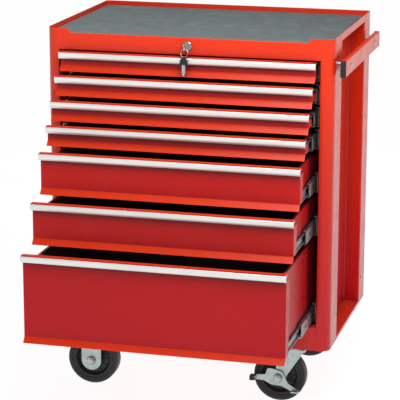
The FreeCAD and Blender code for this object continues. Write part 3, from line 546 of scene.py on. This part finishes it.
def ribs(lines, half_width, height, name, body, finish):
    """Ribs along (start, end) lines, as one piece."""
    start = bpy.data.meshes.new(name + "_lines")
    points = [spot for line in lines for spot in line]
    start.from_pydata(points, [(2 * n, 2 * n + 1) for n in range(len(lines))], [])
    values = {"Half width": half_width, "Height": height, "Finish": finish}
    mesh = evaluated(start, PARALLEL_RIBS, values, name)
    return finish_piece(mesh, name, body, angle=80.0)


# %% [markdown]
# ## Drawer pulls
# Each pull is an aluminium extrusion as wide as the drawer: flat on top, a tight
# bend, then a face that curves back under for the fingertips. A curve with a bevel
# profile would give the same shape. A mesh swept between two ends is simpler,
# because the path is straight, so the section is drawn once, as an outer and an
# inner line, and joined across the drawer.

# %% Sweep the pulls


def bend(middle, across, up, start, end, steps):
    """Points on part of an ellipse in (depth, height), from start to end degrees."""
    angles = [math.radians(start + (end - start) * n / steps) for n in range(steps + 1)]
    return [(middle[0] + across * math.cos(a), middle[1] + up * math.sin(a)) for a in angles]


def pull_line(inset):
    """The pull's section, set in from the outside by that many millimetres."""
    top = [(13.0, 15.3 - inset)] + bend((2.2, 13.1), 2.2 - inset, 2.2 - inset, 90, 180, 6)
    return top + bend((5.2, 9.6), 5.2 - inset, 9.6 - inset, 180, 252, 12)


def sweep_pull(low, high):
    """A pull between two corners, closed at both ends."""
    work = bmesh.new()
    rows = []
    for across in (low.x, high.x):
        for line in (pull_line(0.0), pull_line(1.2)):
            rows.append([work.verts.new((across, low.y + depth * MM, low.z + up * MM))
                         for depth, up in line])
    outer_a, inner_a, outer_b, inner_b = rows
    last = len(outer_a) - 1
    for n in range(last):
        work.faces.new((outer_a[n], outer_a[n + 1], outer_b[n + 1], outer_b[n]))
        work.faces.new((inner_a[n], inner_b[n], inner_b[n + 1], inner_a[n + 1]))
        work.faces.new((outer_a[n], inner_a[n], inner_a[n + 1], outer_a[n + 1]))
        work.faces.new((outer_b[n], outer_b[n + 1], inner_b[n + 1], inner_b[n]))
    for n in (0, last):
        work.faces.new((outer_a[n], outer_b[n], inner_b[n], inner_a[n]))
    return work


for number in DRAWERS:
    trim = f"drawer_{number}_trim"
    low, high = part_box(trim)
    finish_piece(mesh_from(sweep_pull(low, high), "pull"), f"drawer_{number}_pull",
                 f"drawer_{number}", TRIM, 40.0, (trim,))
print("pulls", len(DRAWERS))

# %% [markdown]
# ## The top mat
# The mat keeps tools from sliding about on top. Its sheet is a CAD node, so only its
# ribs are new. They could run straight to the edge and be cut off, but near the
# rounded front corners each line simply starts further back, which needs no cut.

# %% The top mat's ribs
MAT_PITCH = 5.0
MAT_CORNER = 18.0
MAT_SIDE_GAP = 2.5
MAT_END_GAP = 2.0
mat_half = (mat_high.x - mat_low.x) / 2 / MM
mat_front = (mat_low.y - Y_FRONT) / MM
mat_rear = (mat_high.y - Y_FRONT) / MM
mat_lines = []
count = int((mat_half - MAT_SIDE_GAP) // MAT_PITCH)
for index in range(-count, count + 1):
    across = index * MAT_PITCH
    inset = max(0.0, abs(across) - (mat_half - MAT_CORNER))
    setback = MAT_CORNER - math.sqrt(max(MAT_CORNER ** 2 - inset ** 2, 0.0))
    start = at(across, mat_front + MAT_END_GAP + setback, mat_high.z / MM)
    mat_lines.append((start, at(across, mat_rear - MAT_END_GAP, mat_high.z / MM)))
ribs(mat_lines, 1.3 * MM, 1.1 * MM, "top_mat_ribs", "cabinet", MAT_RUBBER)
print("mat ribs", len(mat_lines))

# %% [markdown]
# ## Drawer liners
# Each drawer has a black liner: a thin ribbed sheet on the floor. The plain dark
# strips up the sides and the rear wall are painted shade, dark sheets where the inside
# of the tray lies in shade. One folded sheet would need its corners worked out. Four
# thin blocks, set just clear of the red tray, look the same from above.

# %% Drawer liners
LINER_PITCH = 9.0
LINER_RIBS = 30
LINER_HALF = 279.0
LINER_FRONT, LINER_REAR = 15.0, 4.0
FLOOR_DROP, WALL_DROP = 13.0, 17.0  # below the slide's middle, below the trim's top
for number in DRAWERS:
    trim_low, trim_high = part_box(f"drawer_{number}_trim")
    runner_low, runner_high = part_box(f"drawer_{number}_runners")
    front, rear = trim_low.y + LINER_FRONT * MM, runner_high.y - LINER_REAR * MM
    tray_floor = (runner_low.z + runner_high.z) / 2 - FLOOR_DROP * MM
    base, top = tray_floor + 0.1 * MM, tray_floor + 0.9 * MM
    shade_strip_top = trim_high.z - WALL_DROP * MM
    sheet = bmesh.new()
    half = LINER_HALF * MM
    block(sheet, Vector((X_MID - half, front, base)), Vector((X_MID + half, rear, top)), 0.2 * MM)
    # Painted shade: the strips up the rear wall and the sides are dark sheets for the tray's
    # shaded inside.
    half += 0.6 * MM
    block(sheet, Vector((X_MID - half, rear + 0.2 * MM, base)),
          Vector((X_MID + half, rear + 1.4 * MM, shade_strip_top)))
    for hand in (-1, 1):
        inside, outside = sorted((hand * 279.2 * MM, hand * 280.2 * MM))
        block(sheet, Vector((X_MID + inside, front, base)),
              Vector((X_MID + outside, rear, shade_strip_top)))
    body = f"drawer_{number}"
    finish_piece(mesh_from(sheet, "liner"), f"{body}_liner", body,
                 LINER_RUBBER)
    lines = []
    for index in range(-LINER_RIBS, LINER_RIBS + 1):
        across = X_MID + index * LINER_PITCH * MM
        lines.append((Vector((across, front + 3 * MM, top)),
                      Vector((across, rear - 3 * MM, top))))
    ribs(lines, 1.6 * MM, 0.7 * MM, f"{body}_liner_ribs", body,
         LINER_RUBBER)
print("liners", len(DRAWERS))

# %% [markdown]
# ## Tyres
# Each caster runs on a solid rubber tyre, moulded with a crowned tread, rounded
# shoulders and a stepped sidewall. A torus has no sidewall, and a cylinder no
# crown, so the tyre is turned from one closed outline, drawn for one half only.

# %% Turn the tyres
TYRE_OUTLINE = [
    (48.0, -14.2), (49.8, -15.2), (51.4, -15.4), (52.0, -14.6), (53.6, -14.6),
    (54.2, -15.6), (57.2, -16.0), (59.8, -15.9), (61.2, -15.3), (62.1, -14.1),
    (62.5, -11.6), (62.5, 0.0),
]
SIDES = ("left", "right")
ENDS = ("front", "rear")


def mirrored_outline(points):
    """An outline from -Y to the middle, carried on to +Y, for a shape that is even."""
    return points + [(radius, -along) for radius, along in reversed(points[:-1])]


def wheel_centre(end, side):
    low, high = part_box(f"tyre_{end}_{side}")
    return (low + high) / 2


for end in ENDS:
    for side in SIDES:
        outline = mirrored_outline(TYRE_OUTLINE)
        tyre = mesh_from(turned(outline + [outline[0]], 96), "tyre")
        tyre.transform(Matrix.Translation(wheel_centre(end, side)))
        finish_piece(tyre, f"tyre_detail_{end}_{side}", f"wheel_{end}_{side}",
                     TYRE_RUBBER, 30.0, (f"tyre_{end}_{side}",))
print("tyres", len(ENDS) * len(SIDES))

# %% [markdown]
# ## Hubs
# The hub is a moulded nylon disc: a rim that holds the tyre, a thinner web with
# ribs on both faces, and a boss round the axle with a pale bearing cap. Cutting
# pockets into a solid disc would need booleans. Turning the disc and adding the
# ribs is simpler, and the tree sets them round the axle.

# %% Turn the hubs
HUB_OUTLINE = [
    (5.2, -15.5), (14.6, -15.5), (15.2, -14.9), (15.2, -7.0), (17.0, -5.2),
    (37.0, -4.6), (40.0, -7.2), (42.0, -12.6), (43.2, -14.2), (47.2, -14.6),
    (48.1, -14.0), (48.1, 0.0),
]
CAP_OUTLINE = [
    (5.2, -16.2), (12.6, -16.2), (13.2, -15.9), (13.2, -15.0), (16.9, -14.2), (17.4, -13.2),
    (17.4, -9.0), (15.0, -9.0), (5.2, -9.0), (5.2, -16.2),
]
RIB_COUNT = 12

hub_rib = bmesh.new()
block(hub_rib, Vector((14.0, -6.4, -1.3)) * MM, Vector((40.5, 6.4, 1.3)) * MM, 0.5 * MM)
HUB_RIB = hidden(mesh_from(hub_rib, "hub_rib"), "hub_rib")

for end in ENDS:
    for side in SIDES:
        centre = wheel_centre(end, side)
        body = f"wheel_{end}_{side}"
        outline = mirrored_outline(HUB_OUTLINE)
        disc = mesh_from(turned(outline + [outline[0]], 72), "hub")
        disc.transform(Matrix.Translation(centre))
        finish_piece(disc, f"hub_detail_{end}_{side}", body, HUB_NYLON, 30.0,
                     (f"hub_{end}_{side}",))
        places = [(centre, (0.0, 2 * math.pi * n / RIB_COUNT, 0.0)) for n in range(RIB_COUNT)]
        repeat(HUB_RIB, places, f"hub_ribs_{end}_{side}", body, HUB_NYLON)
        pair = bmesh.new()
        for face in (1, -1):
            cap = turned([(radius, face * along) for radius, along in CAP_OUTLINE], 48)
            pair.from_mesh(mesh_from(cap, "cap"))
        caps = mesh_from(pair, "caps")
        caps.transform(Matrix.Translation(centre))
        finish_piece(caps, f"hub_caps_{end}_{side}", body, BOSS_NYLON, 30.0)
print("hubs", len(ENDS) * len(SIDES), "ribs each", RIB_COUNT)

# %% [markdown]
# ## Caster axles and brake pads
# A plain washer sits under each axle nut, and the end of each brake lever has a
# black sleeve, so that a shoe can press it. The lever itself is a CAD node. The
# washers are turned, and the sleeve is one rounded block over the lever's tip.

# %% Axle washers
WASHER_OUTLINE = [(5.2, 0.0), (11.0, 0.0), (11.4, -0.4), (11.4, -1.0), (11.0, -1.4),
                  (5.2, -1.4), (5.2, 0.0)]
FORK_FRONT = 28.0  # from the wheel's middle to a fixed fork's outer face
LEVER_SHEET = 3.0
for end in ENDS:
    for side, body in zip(SIDES, ("cabinet", f"swivel_{end}")):
        centre = wheel_centre(end, side)
        lever_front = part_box(f"brake_lever_{end}")[1].y - LEVER_SHEET * MM
        front = lever_front if side == "right" else centre.y - FORK_FRONT * MM
        washer = mesh_from(turned(WASHER_OUTLINE, 36), "washer")
        washer.transform(Matrix.Translation(Vector((centre.x, front, centre.z))))
        finish_piece(washer, f"axle_washer_{end}_{side}", body, BAR_STEEL, 30.0)
print("axle washers", len(ENDS) * len(SIDES))

# %% Brake pads
PAD_BOTTOM, PAD_TOP = 54.8, 66.4
PAD_LENGTH = 11.5
PAD_WALL = 0.9
for end in ENDS:
    low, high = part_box(f"brake_lever_{end}")
    pad = bmesh.new()
    block(pad, Vector((low.x - PAD_WALL * MM, low.y - PAD_WALL * MM, PAD_BOTTOM * MM)),
          Vector((low.x + PAD_LENGTH * MM, high.y + PAD_WALL * MM, PAD_TOP * MM)), 0.8 * MM)
    finish_piece(mesh_from(pad, "pad"), f"brake_pad_{end}", f"brake_{end}",
                 BLACK_PLASTIC)
print("brake pads", len(ENDS))

# %% [markdown]
# ## Caster bolts
# Four bolts hold each caster's plate to the base pan. Their hexagon heads and
# washers hang under the plate, where someone fitting a wheel would turn them. One
# head is made from two turned shapes, the head with only six steps so that it has
# flats, and the tree sets it in all sixteen places.

# %% Bolt heads and washers


def bolt_head():
    work = bmesh.new()
    washer = turned([(0.0, 0.0), (8.0, 0.0), (8.3, -0.4), (8.0, -1.4), (0.0, -1.4)], 20, "Z")
    head = turned([(0.0, -1.2), (6.6, -1.2), (7.0, -1.7), (7.0, -5.0), (6.2, -5.9),
                   (0.0, -5.9)], 6, "Z")
    for part in (washer, head):
        loose = mesh_from(part, "loose")
        work.from_mesh(loose)
    mesh = bpy.data.meshes.new("bolt_head")
    work.to_mesh(mesh)
    work.free()
    return mesh


BOLT = hidden(bolt_head(), "caster_bolt")
PLATE_BOTTOM = 148.0
FIXED_X, SWIVEL_X = -255.0, 250.0
CASTER_Y = (72.0, 408.0)
BOLT_X, BOLT_Y = 37.5, 24.0
places = []
for across in (FIXED_X, SWIVEL_X):
    for along in CASTER_Y:
        for dx in (-BOLT_X, BOLT_X):
            for dy in (-BOLT_Y, BOLT_Y):
                places.append((at(across + dx, along + dy, PLATE_BOTTOM), FLAT))
repeat(BOLT, places, "caster_bolts", "cabinet", SCREW)
print("caster bolts", len(places))

# %% [markdown]
# ## Balls
# The slides and the caster swivels run on steel balls. A slide's balls sit in a
# thin cage between its channels, and they show when a drawer is pulled out. There
# are hundreds, so one low ball is repeated by the tree rather than a smooth sphere
# for each. They ride on the middle members, between the channel and the runner.

# %% Slide balls and cages
ball = bmesh.new()
bmesh.ops.create_icosphere(ball, subdivisions=2, radius=1.0)
BALL_SHAPE = hidden(mesh_from(ball, "ball"), "ball")
BALLS_PER_ROW = 14
BALL_PITCH = 13

for number in DRAWERS:
    low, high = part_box(f"drawer_{number}_mid_slides")
    middle = (low.z + high.z) / 2
    inner, outer, cage = [], [], bmesh.new()
    for hand in (-1, 1):
        for level in (-1, 1):
            for row, side_x, first, up in ((inner, 291.6, 14, 12.85), (outer, 294.5, 190, 18.6)):
                for index in range(BALLS_PER_ROW):
                    along = first + BALL_PITCH * index
                    spot = Vector((X_MID + hand * side_x * MM, low.y + along * MM,
                                   middle + level * up * MM))
                    row.append((spot, FLAT))
        inside, outside = sorted((hand * 294.1 * MM, hand * 294.5 * MM))
        block(cage, Vector((X_MID + inside, low.y + 5 * MM, middle - 11.5 * MM)),
              Vector((X_MID + outside, low.y + 195 * MM, middle + 11.5 * MM)))
    body = f"mid_slides_{number}"
    repeat(BALL_SHAPE, inner, f"slide_balls_inner_{number}", body, BALL,
           60.0, 1.7 * MM)
    repeat(BALL_SHAPE, outer, f"slide_balls_outer_{number}", body, BALL,
           60.0, 2.2 * MM)
    finish_piece(mesh_from(cage, "cage"), f"slide_cage_{number}", body, BALL)
print("balls per drawer", 2 * len(inner))

# %% [markdown]
# ## Swivel balls
# Each right-hand fork turns under its plate on a ring of balls between two pressed
# races. Only their lower halves show in the gap, so a plain ring of the same ball,
# riding on the fork, is enough.

# %% Swivel balls
RACE_RADIUS = 24.6
RACE_HEIGHT = 145.6
RACE_BALLS = 18
for end, along in zip(ENDS, CASTER_Y):
    ring = []
    for index in range(RACE_BALLS):
        angle = 2 * math.pi * index / RACE_BALLS
        across, back = RACE_RADIUS * math.cos(angle), RACE_RADIUS * math.sin(angle)
        ring.append((at(SWIVEL_X + across, along + back, RACE_HEIGHT), FLAT))
    repeat(BALL_SHAPE, ring, f"swivel_balls_{end}", f"swivel_{end}", BALL,
           60.0, 2.2 * MM)
print("swivel balls", 2 * len(ring))

# %% [markdown]
# ## Punched slots
# Slides like these often have slots punched in their middle members, which show as
# dark ovals when a drawer is out. Real holes would need booleans in a CAD node, and those are left
# alone. A thin dark oval lying on the metal stands in for each hole, as painted shade for the
# dark inside it, and looks the same from outside.

# %% Punched slots on the middle members
oval = turned([(0.0, 0.12), (1.0, 0.12), (1.0, -0.1), (0.0, -0.1)], 20, "Z")
oval_mesh = mesh_from(oval, "oval")
oval_mesh.transform(Matrix.Diagonal((3.0, 8.0, 1.0, 1.0)))
OVAL = hidden(oval_mesh, "oval")
for number in DRAWERS:
    low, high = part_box(f"drawer_{number}_mid_slides")
    places = []
    for hand in (-1, 1):
        face = high.x if hand > 0 else low.x
        for along in (40.0, 130.0, 240.0, 330.0):
            spot = Vector((face, low.y + along * MM, (low.z + high.z) / 2))
            places.append((spot, (0.0, hand * QUARTER, 0.0)))
    # Painted shade: each black oval stands for the dark inside a punched slot.
    repeat(OVAL, places, f"slide_slots_{number}", f"mid_slides_{number}",
           BLACK_PLASTIC)
print("slots per drawer", len(places))

# %% [markdown]
# The deep drawer's side returns have a small upright slot near the front. It is
# the same oval, smaller and turned upright.

# %% Slots in the deep drawer's side returns
low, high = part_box("drawer_7")
SLOT_UP, SLOT_BACK = 77.0, 40.0
slot_z = low.z + SLOT_UP * MM
slot_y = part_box("drawer_7_trim")[0].y + SLOT_BACK * MM
places = [(Vector((side_x, slot_y, slot_z)), (QUARTER, 0.0, turn))
          for side_x, turn in ((low.x, -QUARTER), (high.x, QUARTER))]
repeat(OVAL, places, "side_return_slots", "drawer_7", BLACK_PLASTIC, size=0.6)
print("return slots", len(places))

# %% [markdown]
# ## Slide screws
# Three pan-head screws hold each runner to the drawer's side. Threads would never
# be seen, so one low head is turned, and the tree sets it on both sides.

# %% Runner screws
RUNNER_FACE = 288.4
pan = turned([(0.0, -1.3), (2.2, -1.3), (3.4, -0.8), (3.8, 0.0), (3.8, 0.4), (0.0, 0.4)],
             16, "Z")
PAN_SCREW = hidden(mesh_from(pan, "pan_screw"), "pan_screw")
for number in DRAWERS:
    low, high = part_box(f"drawer_{number}_runners")
    middle = (low.z + high.z) / 2
    places = []
    for hand in (-1, 1):
        for along in (12.0, 150.0, 330.0):
            spot = Vector((X_MID + hand * RUNNER_FACE * MM, low.y + along * MM, middle))
            places.append((spot, (0.0, -hand * QUARTER, 0.0)))
    repeat(PAN_SCREW, places, f"runner_screws_{number}", f"drawer_{number}",
           SCREW)
print("runner screws per drawer", len(places))

# %% [markdown]
# ## Rivets round the back
# The back panel is riveted to the side panels. A bump in the paint would be flat in
# outline, so low domes are turned and set in a column near each edge.

# %% Back rivets
dome = turned([(0.0, 1.3), (1.6, 1.2), (2.8, 0.8), (3.4, 0.2), (3.5, -0.2), (0.0, -0.2)],
              14, "Z")
RIVET = hidden(mesh_from(dome, "rivet"), "rivet")
RIVET_ROWS = 9
RIVET_END, RIVET_SIDE = 24.0 * MM, 14.0 * MM
back_low, back_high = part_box("back_panel")
span = back_high.z - back_low.z - 2 * RIVET_END
places = []
for row in range(RIVET_ROWS):
    up = back_low.z + RIVET_END + span * row / (RIVET_ROWS - 1)
    for across in (back_low.x + RIVET_SIDE, back_high.x - RIVET_SIDE):
        places.append((Vector((across, Y_BACK, up)), (-QUARTER, 0.0, 0.0)))
repeat(RIVET, places, "back_rivets", "cabinet", SCREW)
print("rivets", len(places))

# %% [markdown]
# ## The spare key
# A split ring hangs from the key in the lock and carries the spare. The ring is
# round wire, and the spare has a moulded black head with a steel blade. A torus
# would be flat, but the ring leans out over the drawer, so its wire is laid round
# a leaning circle. The spare is built from small rounded blocks.

# %% Key ring and spare key
LOCK_Z = 855.0
KEY_Y = -25.0
RING_RADIUS = 8.7
RING_WIRE = 0.7
RING_LEAN = 2.6
RING_STEPS = 48
WIRE_STEPS = 8
wire = bmesh.new()
rounds = []
for step in range(RING_STEPS):
    angle = 2 * math.pi * step / RING_STEPS
    outward = Vector((math.sin(angle), 0.0, math.cos(angle)))
    lean = Vector((0.0, RING_LEAN * math.cos(angle) - RING_LEAN, -RING_RADIUS))
    middle = lean + outward * RING_RADIUS
    loop = []
    for part in range(WIRE_STEPS):
        turn = 2 * math.pi * part / WIRE_STEPS
        across = outward * math.cos(turn) + Vector((0.0, 1.0, 0.0)) * math.sin(turn)
        loop.append(wire.verts.new((middle + across * RING_WIRE) * MM))
    rounds.append(loop)
for one, two in zip(rounds, rounds[1:] + rounds[:1]):
    for part in range(WIRE_STEPS):
        after = (part + 1) % WIRE_STEPS
        wire.faces.new((one[part], one[after], two[after], two[part]))
ring_mesh = mesh_from(wire, "ring")
ring_mesh.transform(Matrix.Translation(at(0.0, KEY_Y, LOCK_Z - 2.4)))
finish_piece(ring_mesh, "key_ring", "cabinet", CHROME, 60.0)

SPARE_Y = -33.0
head = bmesh.new()
block(head, at(-9.4, SPARE_Y - 1.4, 816.0), at(9.4, SPARE_Y + 1.4, 829.0), 1.3 * MM)
block(head, at(-6.6, SPARE_Y - 1.5, 826.0), at(6.6, SPARE_Y + 1.5, 834.0), 1.3 * MM)
block(head, at(-6.4, SPARE_Y - 1.8, 818.6), at(6.4, SPARE_Y + 1.8, 826.0), 0.6 * MM)
finish_piece(mesh_from(head, "spare_head"), "spare_key_head", "cabinet",
             BLACK_PLASTIC)
blade = bmesh.new()
block(blade, at(-4.0, SPARE_Y - 0.7, 798.0), at(3.0, SPARE_Y + 0.7, 818.0), 0.3 * MM)
block(blade, at(-2.6, SPARE_Y - 0.7, 791.6), at(2.2, SPARE_Y + 0.7, 799.0), 0.3 * MM)
for notch in range(4):
    base = 799.5 + 4.0 * notch
    block(blade, at(2.6, SPARE_Y - 0.6, base), at(4.1, SPARE_Y + 0.6, base + 2.2), 0.3 * MM)
finish_piece(mesh_from(blade, "spare_blade"), "spare_key_blade", "cabinet",
             CHROME)
print("key ring radius mm", RING_RADIUS)

# %% [markdown]
# ## Seams
# The top rail and base rail meet the side panels in a smooth painted face, with
# only a diagonal line at the bottom corners. The CAD nodes leave a fine gap where
# they meet. Their meshes stay as they are, so thin strips of the same paint fill
# the gap, and a narrow dark strip draws the diagonal.

# %% Filler strips
OPENING_HALF = 308.5
FILLER_HALF = 1.4
TOP_SEAM, BASE_SEAM = (836.2, 871.5), (153.0, 206.8)
filler = bmesh.new()
for hand in (-1, 1):
    inside, outside = sorted((hand * (OPENING_HALF - FILLER_HALF),
                              hand * (OPENING_HALF + FILLER_HALF)))
    for lower, upper in (TOP_SEAM, BASE_SEAM):
        block(filler, at(inside, -0.04, lower), at(outside, 1.6, upper))
finish_piece(mesh_from(filler, "weld"), "weld_seams", "cabinet", RED_BODY)
print("seams filled", 4)

# %% Diagonal lines
LINE_HALF = 0.45
LINE_DEPTH = 0.3
mitre = bmesh.new()
for hand in (-1, 1):
    start, end = at(hand * 304.8, -0.1, 205.4), at(hand * 315.4, -0.1, 195.4)
    across = (end - start).cross(Vector((0.0, 1.0, 0.0))).normalized() * LINE_HALF * MM
    inward = Vector((0.0, LINE_DEPTH * MM, 0.0))
    corners = [start - across, end - across, end + across, start + across]
    front = [mitre.verts.new(spot) for spot in corners]
    rear = [mitre.verts.new(spot + inward) for spot in corners]
    mitre.faces.new(front)
    mitre.faces.new(rear[::-1])
    for one in range(4):
        two = (one + 1) % 4
        mitre.faces.new((front[one], rear[one], rear[two], front[two]))
finish_piece(mesh_from(mitre, "mitre"), "mitre_seams", "cabinet",
             BLACK_PLASTIC)
print("diagonal lines", 2)

# %% [markdown]
# ## Post plugs
# A small dark plug sits low on each of the four posts. A painted dot would have no
# edge to catch the light, so one low dome is turned and set on both sides.

# %% Hole plugs on the posts
POST_FACE = 340.0
PLUG_PLACES = ((90.0, 216.0), (417.0, 214.0))
plug = turned([(0.0, 0.5), (2.6, 0.45), (3.1, 0.1), (3.1, -1.0), (0.0, -1.0)], 18, "Z")
PLUG = hidden(mesh_from(plug, "plug"), "plug")
places = []
for hand in (-1, 1):
    for along, up in PLUG_PLACES:
        places.append((at(hand * POST_FACE, along, up), (0.0, hand * QUARTER, 0.0)))
repeat(PLUG, places, "post_plugs", "cabinet", BLACK_PLASTIC)
print("plugs", len(places))

# %% [markdown]
# ## Floor
# The box stands on a plain white sheet. A lit white floor would throw red glow and
# grey shade around the casters, so this one is dark enough to bounce little light
# and gives off its own even white.

# %% Floor
FLOOR_HALF = 30.0
floor_mesh = bmesh.new()
bmesh.ops.create_grid(floor_mesh, x_segments=1, y_segments=1, size=FLOOR_HALF)
ground = bpy.data.objects.new("floor", mesh_from(floor_mesh, "floor"))
scene.collection.objects.link(ground)
pale = Recipe("pale_floor", Roughness=0.9)
tint = pale.mix(pale.noise(1.5, 2.0), shade(0.12, 0.12, 0.12), shade(0.15, 0.15, 0.15))
pale.shader.inputs["Emission Color"].default_value = shade(1.0, 1.0, 1.0)
pale.shader.inputs["Emission Strength"].default_value = 0.93
ground.data.materials.append(pale.out(Base_Color=tint))
print("floor size m", 2 * FLOOR_HALF)

# %% [markdown]
# ## Lights
# A pale world gives the flat light of a studio. Alone it would leave the folds
# without shape, so one large area light from the upper front models the drawers'
# edges, and a weak fill from the right keeps the push bar's side readable.

# %% Lights
world = bpy.data.worlds.new("studio")
world.use_nodes = True
world.node_tree.nodes["Background"].inputs["Color"].default_value = shade(1.0, 1.0, 1.0)
world.node_tree.nodes["Background"].inputs["Strength"].default_value = 0.32
scene.world = world


def area_light(name, spot, aim, size, power):
    lamp = bpy.data.lights.new(name, "AREA")
    lamp.size = size
    lamp.energy = power
    holder = bpy.data.objects.new(name, lamp)
    holder.location = spot
    holder.rotation_euler = (Vector(aim) - Vector(spot)).to_track_quat("-Z", "Y").to_euler()
    scene.collection.objects.link(holder)
    return holder


area_light("key_light", (0.4, -0.75, 1.75), (0.0, 0.0, 0.75), 1.0, 25.0)
area_light("side_fill", (2.6, 1.2, 1.9), (0.0, 0.1, 0.5), 1.5, 5.0)
print("lights", len(bpy.data.lights))

# %% [markdown]
# ## Camera
# The box is seen from its front right corner, from a little above. A long lens far
# away keeps the drawers' edges nearly parallel, where a short one close up would
# spread them.

# %% Camera
lens = bpy.data.cameras.new("camera")
lens.lens = 167.5
lens.sensor_width = 36.0
lens.shift_x = 0.0073
lens.shift_y = -0.0094
lens.clip_end = 100.0
camera = bpy.data.objects.new("camera", lens)
camera.location = (1.0955, -4.1280, 1.5593)
camera.rotation_euler = (math.radians(75.87), math.radians(-0.08), math.radians(15.04))
scene.collection.objects.link(camera)
scene.camera = camera
scene.view_settings.view_transform = "Standard"
print("camera lens mm", lens.lens)

# %% Remove the hidden shapes
for shape in (HUB_RIB, BOLT, BALL_SHAPE, PAN_SCREW, RIVET, PLUG, OVAL):
    bpy.data.objects.remove(shape)
